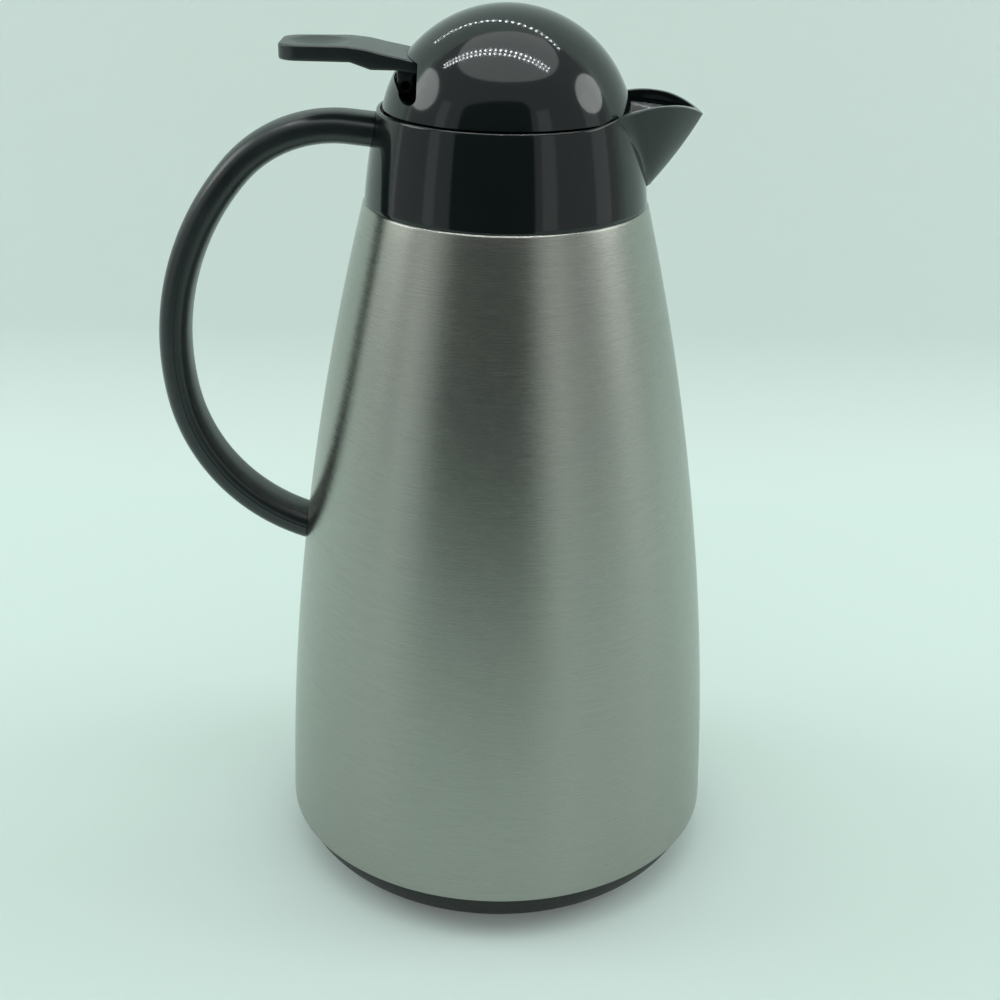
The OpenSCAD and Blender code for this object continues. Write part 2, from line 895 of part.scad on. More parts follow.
module handle_screws() {
    color(zinc)
        union() {
            translate([-socket_r - fit_gap, 0, top_screw_z])
                rotate([0, -90, 0])
                    screw(screw_r, top_screw_l, screw_head_r, screw_head_h);
            low_screw_place()
                translate([0, 0, plate_seat - plate_back - screw_head_h])
                    screw(screw_r, plate_back - plate_seat + low_bite, screw_head_r, screw_head_h);
        }
}

// Curved plate behind the steel that spreads the load of the lower screw
module handle_backplate() {
    color(zinc)
        difference() {
            intersection() {
                rotate_extrude($fn = 180)
                    polygon(concat(
                        shell_points(shell_wall + fit_gap / 2, shell_z_low, shell_z_top),
                        [for (i = [0:profile_steps])
                            shell_points(plate_back, shell_z_low, shell_z_top)
                                [profile_steps - i]]
                    ));
                translate([-far / 2, 0, low_screw_z])
                    cube([far, plate_w, plate_h], center = true);
                translate([-far, -far / 2, 0])
                    cube([far, far, far]);
            }
            low_screw_hole();
        }
}

// Stopper: hollow moulding with the pouring bore, closed below by a cup
stopper_r = socket_r - move_gap - fit_gap;
stopper_wall = 2.2;
tube_wall = 1.6;
deck_z = rim_z - dome_seam;
dish_z = deck_z - pour_dish;
seat_drop = 2;
deck_low_z = dish_z - seat_drop - fit_gap;
cup_z = floor_z + move_gap + fit_gap;
cup_t = 2;
stopper_low_z = deck_z - flange_t - stopper_h;
seat_w = 2.4;
seat_r = pour_r + seat_w;
dish_margin = 3;
dish_room_r = seat_r + dish_margin;
spring_half_w = 4.4;
spring_leg = 2.2;
post_in = spring_half_w + 2 * fit_gap;
post_t = 3;
post_out = post_in + post_t;
post_lean = 0.9;
post_foot = 8;
ear_gap = 0.4;

module stopper_body() {
    color(black)
        difference() {
            union() {
                rotate_extrude()
                    difference() {
                        union() {
                            translate([0, cup_z + cup_t])
                                square([stopper_r, deck_z - cup_z - cup_t]);
                            translate([0, flange_z + move_gap])
                                square([flange_r, flange_t - move_gap]);
                        }
                        translate([pour_r + tube_wall, cup_z])
                            square([stopper_r - stopper_wall - pour_r - tube_wall,
                                deck_low_z - cup_z]);
                        square([pour_r, far]);
                        polygon([
                            [0, dish_z],
                            [seat_r, dish_z],
                            [pour_r, dish_z - seat_drop],
                            [0, dish_z - seat_drop]
                        ]);
                    }
                // Two posts that carry the hinge pin
                for (side = [-1, 1])
                    translate([0, side * (post_in + post_t / 2), 0])
                        side_extrude(post_t)
                            union() {
                                translate([-pin_x, pin_z])
                                    circle(r = knuckle_r);
                                polygon([
                                    [-pin_x - knuckle_r, pin_z],
                                    [-pin_x - knuckle_r + post_lean, deck_z - over],
                                    [-pin_x + post_foot, deck_z - over],
                                    [-pin_x + knuckle_r, pin_z]
                                ]);
                            }
            }
            // Room for the back edge of the dome, left standing round the posts
            difference() {
                dip_relief();
                translate([-pin_x - knuckle_r + post_lean / 2, -post_out - move_gap, 0])
                    cube([far, 2 * (post_out + move_gap), far]);
            }
            // Pouring dish and the channel that leads to the spout
            translate([0, 0, dish_z])
                cylinder(r = dish_room_r, h = far);
            translate([0, -channel_half_w, dish_z])
                cube([far, 2 * channel_half_w, far]);
            translate([-pin_x, 0, pin_z])
                rotate([90, 0, 0])
                    cylinder(r = pin_r + pin_gap, h = far, center = true);
        }
}

// Groove round the neck plug, and the two lips of the gasket in it
gasket_lip_r = neck_in_r - move_gap - neck_plug_r;
gasket_depth = 1.4;
gasket_h = 3.5 * gasket_lip_r;
gasket_z = stopper_low_z + 3;
cup_lip_h = 3;

module stopper_cup() {
    color(black)
        rotate_extrude()
            difference() {
                union() {
                    translate([0, cup_z])
                        square([stopper_r, cup_t]);
                    translate([0, cup_z])
                        square([stopper_r - stopper_wall - fit_gap, cup_t + cup_lip_h]);
                    translate([0, stopper_low_z])
                        square([neck_plug_r, cup_z - stopper_low_z + over]);
                }
                square([pour_r, far]);
                translate([pour_r, cup_z + cup_t])
                    square([stopper_r - 2 * stopper_wall - pour_r, far]);
                translate([neck_plug_r - gasket_depth, gasket_z])
                    square([far, gasket_h]);
            }
}

module stopper_foam() {
    color("#d8d2bc")
        ring(pour_r + tube_wall + fit_gap, stopper_r - 2 * stopper_wall - fit_gap,
            cup_z + cup_t, deck_low_z - fit_gap);
}

module stopper_gasket() {
    color(rubber)
        rotate_extrude()
            union() {
                translate([neck_plug_r - gasket_depth, gasket_z])
                    square([gasket_depth, gasket_h]);
                for (z = [gasket_lip_r + fit_gap, gasket_h - gasket_lip_r - fit_gap])
                    translate([neck_plug_r, gasket_z + z])
                        circle(r = gasket_lip_r, $fn = 32);
            }
}

// Return spring: a wire wound round the hinge pin, with a leg at each end
function spring_path() =
    let (
        coil_r = pin_r + 2 * wire_r + 2 * fit_gap,
        steps = 14,
        total = (spring_turns + 0.5) * steps,
        pitch = 2 * (spring_half_w - 2 * wire_r) / total
    )
    concat(
        [[coil_r, deck_z - pin_z + wire_r / 2, -spring_half_w + 2 * wire_r]],
        [for (i = [0:total])
            let (a = i * 360 / steps)
            [coil_r * cos(a), coil_r * sin(a), -spring_half_w + 2 * wire_r + i * pitch]],
        [[-coil_r, spring_leg, spring_half_w - 2 * wire_r]]
    );

// A round wire along points that wind about the Z axis
module wire(path, r, sides) {
    count = len(path);
    rings = [
        for (i = [0:count - 1])
            let (
                ahead = path[min(i + 1, count - 1)] - path[max(i - 1, 0)],
                along = ahead / norm(ahead),
                out = cross(along, [0, 0, 1]),
                across = out / norm(out),
                up = cross(across, along)
            )
            for (s = [0:sides - 1])
                path[i] + r * (cos(360 * s / sides) * across + sin(360 * s / sides) * up)
    ];
    polyhedron(rings, concat(
        [[for (s = [0:sides - 1]) s]],
        [for (i = [0:count - 2], s = [0:sides - 1])
            [i * sides + s, (i + 1) * sides + s, (i + 1) * sides + (s + 1) % sides,
                i * sides + (s + 1) % sides]],
        [[for (s = [0:sides - 1]) count * sides - 1 - s]]
    ), convexity = 6);
}

module return_spring() {
    color(zinc)
        translate([-pin_x, 0, pin_z])
            rotate([90, 0, 0])
                wire(spring_path(), wire_r, 8);
}

// Lid: a dome, closed below by a liner that carries the seal
notch_low = rim_z + notch_rise;
notch_edge_x = -notch_x + notch_r;
notch_step_x = 1.9;
notch_step_z = 2.4;

// Top of the lever: its flat length, then how far it has dropped at each point on the way to the dome
lever_flat_l = 20;
lever_slope_l = 6;
lever_drop = [0.7, 2, 3.1, 4.1];
lever_root_z = lever_z - lever_drop[3];

function lever_top(lift) = [
    [-lever_reach, lever_z + lift],
    [-lever_reach + lever_flat_l, lever_z + lift],
    [-lever_reach + lever_flat_l + lever_slope_l, lever_z - lever_drop[0] + lift],
    [-pin_x - lever_slope_l, lever_z - lever_drop[1] + lift],
    [-pin_x, lever_z - lever_drop[2] + lift],
    [notch_edge_x, lever_root_z + lift]
];

module notch_outline() {
    union() {
        translate([-notch_x, notch_low + notch_r])
            circle(r = notch_r);
        polygon(concat(
            [
                [notch_edge_x, notch_low + notch_r],
                [-notch_x - notch_r, notch_low + notch_r],
                [-notch_x - notch_r - notch_step_x, notch_low + notch_r + notch_step_z],
                [-far / 4, notch_low + notch_r + notch_step_z]
            ],
            [[-far / 4, lever_z + fit_gap]],
            lever_top(fit_gap)
        ));
    }
}

lever_boss_r = 3;
lever_screw_bite = 7;
hinge_room_h = 12;

module dome_lid() {
    color(gloss_black)
        difference() {
            union() {
                difference() {
                    translate([0, 0, dome_z])
                        sphere(r = dome_r, $fn = 180);
                    translate([0, 0, dome_z])
                        sphere(r = dome_r - dome_wall, $fn = 180);
                }
                intersection() {
                    translate([0, 0, dome_z])
                        sphere(r = dome_r - dome_wall / 2, $fn = 180);
                    for (side = [-1, 1])
                        translate([-lever_screw_x, side * lever_screw_y, tongue_z + fit_gap])
                            cylinder(r = lever_boss_r, h = far);
                }
            }
            translate([-far / 2, -far / 2, dome_low_z - far])
                cube([far, far, far]);
            side_extrude(far)
                notch_outline();
            // Thinner wall behind the hinge
            intersection() {
                translate([0, 0, dome_z])
                    sphere(r = dome_r - dome_wall * 0.4, $fn = 180);
                translate([-dome_r, -ear_out - 1, dome_low_z - over])
                    cube([dome_r - pin_x, 2 * ear_out + 2, hinge_room_h]);
            }
            for (side = [-1, 1])
                translate([-lever_screw_x, side * lever_screw_y, tongue_z - over])
                    cylinder(r = small_pilot_r, h = lever_screw_bite + over);
        }
}

lid_liner_t = 2;
seal_t = 3;
seal_depth = 1.4;
stem_r = pour_r - seal_t;
hinge_room_x = 12;
hinge_room_gap = 1.5;

module dome_liner() {
    color(black)
        difference() {
            union() {
                intersection() {
                    translate([0, 0, dome_z])
                        sphere(r = dome_r - dome_wall - fit_gap / 2, $fn = 180);
                    translate([-dome_r, -dome_r, dome_low_z + fit_gap])
                        cube([2 * dome_r, 2 * dome_r, lid_liner_t]);
                }
                // Stem of the seal
                translate([0, 0, dish_z + seal_t])
                    cylinder(r = stem_r, h = dome_low_z + lid_liner_t - dish_z - seal_t);
            }
            // Open back, round the hinge posts and the ears of the lever
            translate([-far - pin_x + hinge_room_x, -ear_out - hinge_room_gap, 0])
                cube([far, 2 * (ear_out + hinge_room_gap), far]);
        }
}

seal_lap = 0.8;

module seal_plug() {
    color(rubber)
        rotate_extrude()
            polygon([
                [0, dish_z - seal_depth],
                [pour_r - move_gap, dish_z - seal_depth],
                [seat_r + seal_lap, dish_z + 3 * move_gap],
                [seat_r + seal_lap, dish_z + seal_t],
                [0, dish_z + seal_t]
            ]);
}

// Lever: a moulded pad with two ears round the pin and a tongue inside the dome
ear_in = post_out + ear_gap;
ear_t = 2.8;
ear_out = ear_in + ear_t;
tongue_z = lever_root_z - 0.5;
tongue_t = 3;
tongue_w = 16;
tongue_end_x = 9;
tongue_lap = 3;
lever_screw_x = 15;
lever_screw_y = 4.5;
lever_root_t = lever_t - 1;
lever_neck_l = 10;

module lever_outline() {
    tip = 1.2;
    offset(r = tip, $fn = 24)
        offset(delta = -tip)
            polygon(concat(
                lever_top(0),
                [
                    [notch_edge_x, lever_root_z - lever_root_t],
                    [-pin_x - lever_slope_l / 2, lever_z - lever_drop[1] - lever_t],
                    [-pin_x - lever_neck_l, lever_z - lever_drop[1] - lever_t],
                    [-pin_x - lever_neck_l - lever_slope_l, lever_z - lever_t],
                    [-lever_reach, lever_z - lever_t]
                ]
            ));
}

// Plan of the lever, narrower and rounded towards its end
lever_corner_r = 6;

module lever_plan() {
    offset(r = lever_corner_r, $fn = 48)
        offset(delta = -lever_corner_r)
            polygon([
                [-lever_reach, -lever_tip_w / 2],
                [-lever_reach, lever_tip_w / 2],
                [-pin_x - lever_slope_l, lever_w / 2],
                [0, lever_w / 2],
                [0, -lever_w / 2],
                [-pin_x - lever_slope_l, -lever_w / 2]
            ]);
}

dish_edge_w = 2.4;
dish_ball_r = (dish_r * dish_r + dish_depth * dish_depth) / (2 * dish_depth);

module thumb_lever() {
    color(gloss_black)
        difference() {
            union() {
                intersection() {
                    side_extrude(lever_w + over)
                        lever_outline();
                    translate([0, 0, rim_z])
                        linear_extrude(height = dome_r)
                            lever_plan();
                }
                // Tongue inside the dome
                translate([notch_edge_x - tongue_lap, -tongue_w / 2, tongue_z - tongue_t])
                    cube([tongue_lap - notch_edge_x - tongue_end_x, tongue_w, tongue_t]);
                // Ears round the pin
                for (side = [-1, 1])
                    translate([0, side * (ear_in + ear_t / 2), 0])
                        side_extrude(ear_t)
                            union() {
                                translate([-pin_x, pin_z])
                                    circle(r = knuckle_r);
                                translate([-pin_x - knuckle_r, pin_z])
                                    square([2 * knuckle_r, lever_root_z - pin_z]);
                            }
            }
            translate([-lever_reach + dish_r + dish_edge_w, 0, lever_z + dish_ball_r - dish_depth])
                sphere(r = dish_ball_r, $fn = 120);
            translate([-pin_x, 0, pin_z])
                rotate([90, 0, 0])
                    cylinder(r = pin_r, h = far, center = true);
            for (side = [-1, 1])
                translate([-lever_screw_x, side * lever_screw_y, tongue_z - far / 2])
                    cylinder(r = small_screw_r + 2 * fit_gap, h = far);
        }
}

module hinge_pin() {
    color(zinc)
        translate([-pin_x, 0, pin_z])
            rotate([90, 0, 0])
                cylinder(r = pin_r, h = 2 * ear_out, center = true);
}

module lever_screws() {
    color(zinc)
        for (side = [-1, 1])
            translate([-lever_screw_x, side * lever_screw_y, tongue_z - tongue_t - small_head_h])
                screw(small_screw_r, tongue_t + lever_screw_bite - over, small_head_r, small_head_h);
}

outer_shell();
base_cup();
base_plug();
liner_cushion();
liner_outer();
liner_inner();
liner_spacers();
neck_gasket();
clamp_ring();
clamp_screws();
collar();
handle();
handle_cover();
handle_screws();
handle_backplate();
stopper_body();
stopper_cup();
stopper_foam();
stopper_gasket();
return_spring();
dome_lid();
dome_liner();
seal_plug();
thumb_lever();
hinge_pin();
lever_screws();
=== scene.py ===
"""Looks of a thermal carafe with a flip lid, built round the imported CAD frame.

Shapes are worked out in millimetres and scaled to metres when a mesh is made.
"""

import json
import math

import bmesh
import bpy
import numpy as np
from mathutils import Euler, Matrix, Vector


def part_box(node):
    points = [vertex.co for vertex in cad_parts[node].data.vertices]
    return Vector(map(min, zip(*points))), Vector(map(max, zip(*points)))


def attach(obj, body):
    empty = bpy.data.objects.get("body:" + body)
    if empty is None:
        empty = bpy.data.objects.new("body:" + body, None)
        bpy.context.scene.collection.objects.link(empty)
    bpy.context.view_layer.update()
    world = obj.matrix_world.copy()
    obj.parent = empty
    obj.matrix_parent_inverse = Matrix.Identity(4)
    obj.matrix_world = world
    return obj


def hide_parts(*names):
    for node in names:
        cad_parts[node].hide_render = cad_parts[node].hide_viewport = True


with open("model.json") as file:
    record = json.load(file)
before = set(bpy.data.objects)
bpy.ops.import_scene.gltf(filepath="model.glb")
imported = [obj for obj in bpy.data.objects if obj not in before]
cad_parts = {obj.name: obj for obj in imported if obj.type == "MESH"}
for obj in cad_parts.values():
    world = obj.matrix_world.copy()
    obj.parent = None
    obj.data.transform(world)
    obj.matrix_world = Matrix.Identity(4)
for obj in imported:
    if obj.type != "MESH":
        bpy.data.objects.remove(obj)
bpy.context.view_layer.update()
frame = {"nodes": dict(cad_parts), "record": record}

MM = 0.001


# Sizes, from the frame where it has them
def node_box(name):
    """Lowest and highest corner of a CAD node, in millimetres."""
    low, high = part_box(name)
    return np.array(low) / MM, np.array(high) / MM


def node_rings(name):
    """Radius and height of every vertex of a CAD node that turns about Z."""
    at = np.array([v.co for v in frame["nodes"][name].data.vertices]) / MM
    return np.hypot(at[:, 0], at[:, 1]), at[:, 2]


SEAM = 0.4  # gap between the dome and the rim of the collar
shell_low, shell_high = node_box("outer_shell")
SHELL_LOW_Z, SHELL_TOP_Z = shell_low[2], shell_high[2]
RIM_Z = node_box("dome_lid")[0][2] - SEAM
DOME_TOP_Z = node_box("dome_lid")[1][2]
DOME_R = 38.0
DOME_Z = DOME_TOP_Z - DOME_R
PIN = (node_box("hinge_pin")[0] + node_box("hinge_pin")[1]) / 2
FLANGE_T = 3.0  # of the flange that the lid unit rests on
FLANGE_SEAT_Z = RIM_Z - SEAM - FLANGE_T
STOPPER_ROOM_R = 32.4
FLANGE_ROOM_R = 34.3
NECK_ROOM_R = 20.5
FLOOR_RISE = 5.8  # of the collar's floor above the top of the steel
FLOOR_Z = SHELL_TOP_Z + FLOOR_RISE
FLOOR_T = 2.4


# Mesh helpers
WELD_DISTANCE = 1e-6  # metres


def add_object(name, data):
    """An object of the scene that holds a mesh, a lamp or a camera."""
    made = bpy.data.objects.new(name, data)
    bpy.context.scene.collection.objects.link(made)
    return made


def closed_mesh(name, points, faces, weld=False):
    """A mesh from millimetre points, with its faces turned outward."""
    mesh = bpy.data.meshes.new(name)
    mesh.from_pydata([tuple(p) for p in np.asarray(points, float) * MM], [], faces)
    work = bmesh.new()
    work.from_mesh(mesh)
    if weld:
        bmesh.ops.remove_doubles(work, verts=work.verts, dist=WELD_DISTANCE)
    bmesh.ops.recalc_face_normals(work, faces=work.faces)
    work.to_mesh(mesh)
    work.free()
    return mesh


def smooth(mesh, sharp):
    """Shades a mesh smooth but for edges sharper than an angle in degrees."""
    mesh.polygons.foreach_set("use_smooth", [True] * len(mesh.polygons))
    mesh.set_sharp_from_angle(angle=math.radians(sharp))


def new_piece(name, points, faces, body, replaces=(), sharp=32.0):
    """A mesh from millimetre points, smooth but for edges sharper than an angle in degrees."""
    mesh = closed_mesh(name, points, faces, weld=True)
    smooth(mesh, sharp)
    piece = add_object(name, mesh)
    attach(piece, body)
    if replaces:
        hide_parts(*replaces)
    return piece


def grid_faces(rows, columns, wrap_rows=False):
    """Quads of a grid with closed rows, where point (row, column) is row * columns + column."""
    faces = []
    for i in range(rows if wrap_rows else rows - 1):
        for j in range(columns):
            i2, j2 = (i + 1) % rows, (j + 1) % columns
            faces.append((i * columns + j, i * columns + j2, i2 * columns + j2, i2 * columns + j))
    return faces


def filleted(corners, steps):
    """A closed outline from (x, y, radius) corners, with each corner rounded."""
    line = []
    for k, (x, y, radius) in enumerate(corners):
        here = np.array((x, y), float)
        before = np.array(corners[k - 1][:2], float) - here
        after = np.array(corners[(k + 1) % len(corners)][:2], float) - here
        if radius <= 0:
            line.append(here)
            continue
        before /= np.linalg.norm(before)
        after /= np.linalg.norm(after)
        half = math.acos(np.clip(before @ after, -1, 1)) / 2
        centre = here + (before + after) / np.linalg.norm(before + after) * radius / math.sin(half)
        start, end = (here + d * radius / math.tan(half) - centre for d in (before, after))
        for t in np.linspace(0, 1, steps + 1):
            blend = start * (1 - t) + end * t
            line.append(centre + blend / np.linalg.norm(blend) * radius)
    return np.array(line)


def arc_outline(low, high, bulge, steps):
    """Points of the arc of radius bulge that runs from low up to high, curving outward."""
    low, high = np.array(low, float), np.array(high, float)
    along = high - low
    side = np.array((-along[1], along[0])) / np.linalg.norm(along)
    centre = (low + high) / 2 + side * math.sqrt(bulge**2 - (along @ along) / 4)
    ends = [math.atan2(*(p - centre)[::-1]) for p in (low, high)]
    turns = np.linspace(*ends, steps + 1)
    return [centre + bulge * np.array((math.cos(a), math.sin(a))) for a in turns]


def three_point_radius(a, b, c):
    """Radius of the circle through three points."""
    a, b, c = (np.array(p, float) for p in (a, b, c))
    area = abs(np.cross(b - a, c - a)) / 2
    return np.linalg.norm(a - b) * np.linalg.norm(b - c) * np.linalg.norm(c - a) / (4 * area)


def lathe(outline, turns):
    """Points and faces of a closed (radius, height) outline turned about Z."""
    angles = np.arange(turns) * 2 * math.pi / turns
    points = [(r * math.cos(a), r * math.sin(a), z) for r, z in outline for a in angles]
    return points, grid_faces(len(outline), turns, wrap_rows=True)


# Steel body: a sheet with a rounded lip and a hem
SHEET = 0.6
LIP_W = 3.0
LIP_BEND_R = 0.9
LIP_INNER_BEND_R = 0.4
HEM_W = 2.4
HEM_BEND_R = 0.5
HEM_INNER_BEND_R = 0.3
EDGE_R = 0.2
LIP_PIECE = 6  # length of the side that is drawn with the lip
HEM_PIECE = 4  # length of the side that is drawn with the hem
JOIN = 0.5  # from the end of either to the next point of the side
SIDE_STEPS = 60
BODY_TURNS = 288


def shell_arc():
    """Bottom, top and radius of the side of the steel body, from the frame."""
    radii, heights = node_rings("outer_shell")
    levels = sorted(set(np.round(heights, 2)))
    picks = (levels[0], levels[len(levels) // 2], levels[-1])
    level_reach = 0.02
    ring = [(radii[abs(heights - z) < level_reach].max(), z) for z in picks]
    return ring[0], ring[-1], three_point_radius(*ring)


shell_foot, shell_lip, SHELL_ARC_R = shell_arc()


def build_steel_body():
    """The steel sheet, with its side bent in at the top to a lip and at the bottom to a hem."""
    side = arc_outline(shell_foot, shell_lip, SHELL_ARC_R, SIDE_STEPS)
    inner = [p - np.array((SHEET, 0)) for p in side[::-1]]
    lean = (side[-1] - side[-2]) / np.linalg.norm(side[-1] - side[-2])
    (low_r, low_z), (top_r, top_z) = side[0], side[-1]
    top = filleted(
        [
            (*(side[-1] - lean * LIP_PIECE), 0),
            (top_r, top_z, LIP_BEND_R),
            (top_r - LIP_W, top_z, EDGE_R),
            (top_r - LIP_W, top_z - SHEET, EDGE_R),
            (top_r - SHEET, top_z - SHEET, LIP_INNER_BEND_R),
            (*(inner[0] - lean * LIP_PIECE), 0),
        ],
        6,
    )
    bottom = filleted(
        [
            (inner[-1][0], low_z + HEM_PIECE, 0),
            (inner[-1][0], low_z + SHEET, HEM_INNER_BEND_R),
            (low_r - HEM_W, low_z + SHEET, EDGE_R),
            (low_r - HEM_W, low_z, EDGE_R),
            (low_r, low_z, HEM_BEND_R),
            (low_r, low_z + HEM_PIECE, 0),
        ],
        5,
    )
    run_low, run_top = low_z + (HEM_PIECE + JOIN), top_z - (LIP_PIECE + JOIN)
    outer_run, inner_run = ([p for p in line if run_low < p[1] < run_top] for line in (side, inner))
    outline = [*outer_run, *top, *inner_run, *bottom]
    points, faces = lathe(outline, BODY_TURNS)
    return new_piece("steel_body", points, faces, "carafe", ["outer_shell"])


# Collar and spout: one surface of columns round the axis
COLLAR_R_LOW = 42.9
COLLAR_R_TOP = 38.7
COLLAR_BULGE_R = 230.0
RIM_INNER_R = 37.66
CREST_RISE = 3.6  # of the spout's rim above the rim of the collar
RISE_START_X, RISE_END_X = 22.0, 44.0
CREST_END_X, CREST_R = 45.5, 21.0
SPOUT_FOOT_Z = SHELL_TOP_Z + 4.6
SPOUT_FOOT_X = 43.3
SPOUT_TIP_X, SPOUT_TIP_Z = 58.9, RIM_Z - 0.6
SPOUT_HALF_W = 16.3
SPOUT_WALL = 1.7
KEEL_BOW = 0.224  # of the keel's line in front of a straight one
SIDE_POWER = 1.75  # how full the spout is seen from above
WIDTH_POWER = 0.8  # how soon the spout widens above its foot
TROUGH_FLOOR_Z = RIM_Z - 8.0
TROUGH_DEPTH = 14.0
COLLAR_EDGE = 0.35
SKIRT_DROP = 8  # of the skirt below the top of the steel
SKIRT_INSET = 2.8
SKIRT_W = 2
OPEN_SLOPE, OPEN_STRETCH = 0.404, 1.0784  # tangent and one over the cosine of the open lid's angle
DIP_GAP = 0.3  # between the open dome and the ledge

collar_arc = np.array(
    arc_outline((COLLAR_R_LOW, SHELL_TOP_Z), (COLLAR_R_TOP, RIM_Z), COLLAR_BULGE_R, 40)
)


def collar_radius(z):
    """Outer radius of the collar without its spout."""
    return np.interp(z, collar_arc[:, 1], collar_arc[:, 0])


def smoothstep(t):
    """A rise from 0 to 1 that starts and ends level."""
    t = np.clip(t, 0, 1)
    return t * t * (3 - 2 * t)


def rim_height(x):
    """Height of the rim over a place on X: it rises to the spout and falls to its tip."""
    rise = CREST_RISE * smoothstep((x - RISE_START_X) / (RISE_END_X - RISE_START_X))
    past = np.clip(x - CREST_END_X, 0, CREST_R * 0.95)
    return RIM_Z + rise - (CREST_R - np.sqrt(CREST_R**2 - past**2))


def spout_share(z):
    """How far a height is up the spout: 0 at its foot, 1 at its tip."""
    return np.clip((z - SPOUT_FOOT_Z) / (SPOUT_TIP_Z - SPOUT_FOOT_Z), 0, None)


def spout_keel_x(z):
    """How far the spout's front edge is from the axis at a height."""
    share = spout_share(z)
    return SPOUT_FOOT_X + (SPOUT_TIP_X - SPOUT_FOOT_X) * share * (1 + KEEL_BOW * (1 - share))


def spout_half_width(z):
    """Half the spout's width at a height, where it leaves the collar."""
    return SPOUT_HALF_W * spout_share(z) ** WIDTH_POWER


def spout_radius(angle, half_w, keel_x, root_x):
    """Distance from the axis to the spout's side at an angle, for one level of the spout."""
    run = np.linspace(0, 1, 60)
    x = np.concatenate([[0.5 * root_x], root_x + (keel_x - root_x) * run])
    y = np.concatenate([[half_w], half_w * (1 - run**SIDE_POWER)])
    around = np.arctan2(y, x)
    order = np.argsort(around)
    return np.interp(angle, around[order], np.hypot(x, y)[order], right=0)


def outer_contour(angle, z):
    """Outer radius of the collar with its spout."""
    base = collar_radius(min(z, RIM_Z)) - max(z - RIM_Z, 0) * 0.12
    half_w = spout_half_width(z)
    if half_w < 0.02:
        return base
    root = math.atan2(half_w, math.sqrt(base**2 - half_w**2))
    soft = min(0.02, 0.4 * root)  # rounds the keel
    bent = math.sqrt(angle**2 + soft**2) - soft * 0.4
    side = spout_radius(bent, half_w, spout_keel_x(z), math.sqrt(base**2 - half_w**2))
    blend = 0.6 + 7.0 * min(spout_share(z), 1.1)
    near = max(blend - abs(side - base), 0) / blend
    return max(side, base) + near**2 * blend / 4


def rim_contour(angle):
    """Outer radius and height of the rim at an angle."""
    z = RIM_Z
    for _ in range(12):
        radius = outer_contour(angle, z)
        z = 0.5 * z + 0.5 * float(rim_height(radius * math.cos(angle)))
    return radius, z


def trough_radius(angle, z, depth):
    """Inner radius of the spout's wall at a depth below its rim."""
    half_w = spout_half_width(z) - SPOUT_WALL - 0.35 * depth
    if half_w < 0.3:
        return 0.0
    keel = spout_keel_x(z) - SPOUT_WALL * 1.45 - 0.8 * depth
    root = math.sqrt(RIM_INNER_R**2 - min(half_w, 20) ** 2)
    return spout_radius(math.sqrt(angle**2 + 0.0004), half_w, max(keel, root + 0.5), root)


def ledge_height(x):
    """The collar's ledge under the dome, lower at the back where the dome dips as it opens."""
    dip = PIN[2] + OPEN_SLOPE * (x - PIN[0]) + OPEN_STRETCH * (RIM_Z + SEAM - PIN[2] - DIP_GAP)
    return min(RIM_Z, dip) if x < PIN[0] + 1 else RIM_Z


def collar_column(angle, outer_rows, ledge_rows):
    """One closed upright outline of the collar, as (radius, height) points, at an angle."""
    rim_r, rim_z = rim_contour(abs(angle))
    column = []
    edge = COLLAR_EDGE
    for v in np.linspace(0, 1, outer_rows) ** 0.9:
        z = SHELL_TOP_Z + edge + v * (rim_z - edge - SHELL_TOP_Z - edge)
        column.append((outer_contour(abs(angle), z), z))
    # Rim, rounded outside and inside
    spout_like = smoothstep((rim_z - RIM_Z) / CREST_RISE)
    wall_r = RIM_INNER_R
    inner = trough_radius(abs(angle), rim_z, 0)
    blend = 2.5 * spout_like + 0.05
    near = max(blend - abs(inner - wall_r), 0) / blend
    inner_r = min(max(inner, wall_r) + near**2 * blend / 4, rim_r - 0.8)
    wall = rim_r - inner_r
    for start_r, way, turns in ((rim_r, -1, (25, 55, 90)), (inner_r, 1, (90, 50, 15))):
        for turn in np.radians(turns):
            r = start_r + way * edge * (1 - math.cos(turn)) * min(1, wall)
            column.append((r, rim_height(r * math.cos(angle)) - edge * (1 - math.sin(turn))))
    # Down the trough, or straight down to the ledge under the dome
    depths = np.linspace(0, TROUGH_DEPTH, 60)
    walls = np.array([trough_radius(abs(angle), rim_z - d, d) for d in depths])
    for share in np.linspace(0, 1, ledge_rows) ** 1.5:
        r = inner_r + (FLANGE_ROOM_R - inner_r) * share
        depth = np.interp(-r, -walls, depths) if walls[0] > r else 0
        ledge = ledge_height(r * math.cos(angle))
        z = max(min(ledge, rim_z - depth), TROUGH_FLOOR_Z + 0.1 * (r - FLANGE_ROOM_R))
        column.append((r, min(z, column[-1][1])))
    seat = min(FLANGE_SEAT_Z, column[-1][1])
    skirt_z = SHELL_TOP_Z - SKIRT_DROP
    skirt_r = COLLAR_R_LOW - SKIRT_INSET
    column += [(FLANGE_ROOM_R, seat), (STOPPER_ROOM_R, seat), (STOPPER_ROOM_R, FLOOR_Z)]
    column += [(NECK_ROOM_R, FLOOR_Z), (NECK_ROOM_R, FLOOR_Z - FLOOR_T)]
    column += [(STOPPER_ROOM_R, FLOOR_Z - FLOOR_T)]
    column += [(skirt_r - SKIRT_W, skirt_z), (skirt_r, skirt_z), (skirt_r, SHELL_TOP_Z)]
    column += [(COLLAR_R_LOW - edge, SHELL_TOP_Z), (COLLAR_R_LOW - 0.1, SHELL_TOP_Z + 0.1)]
    return column


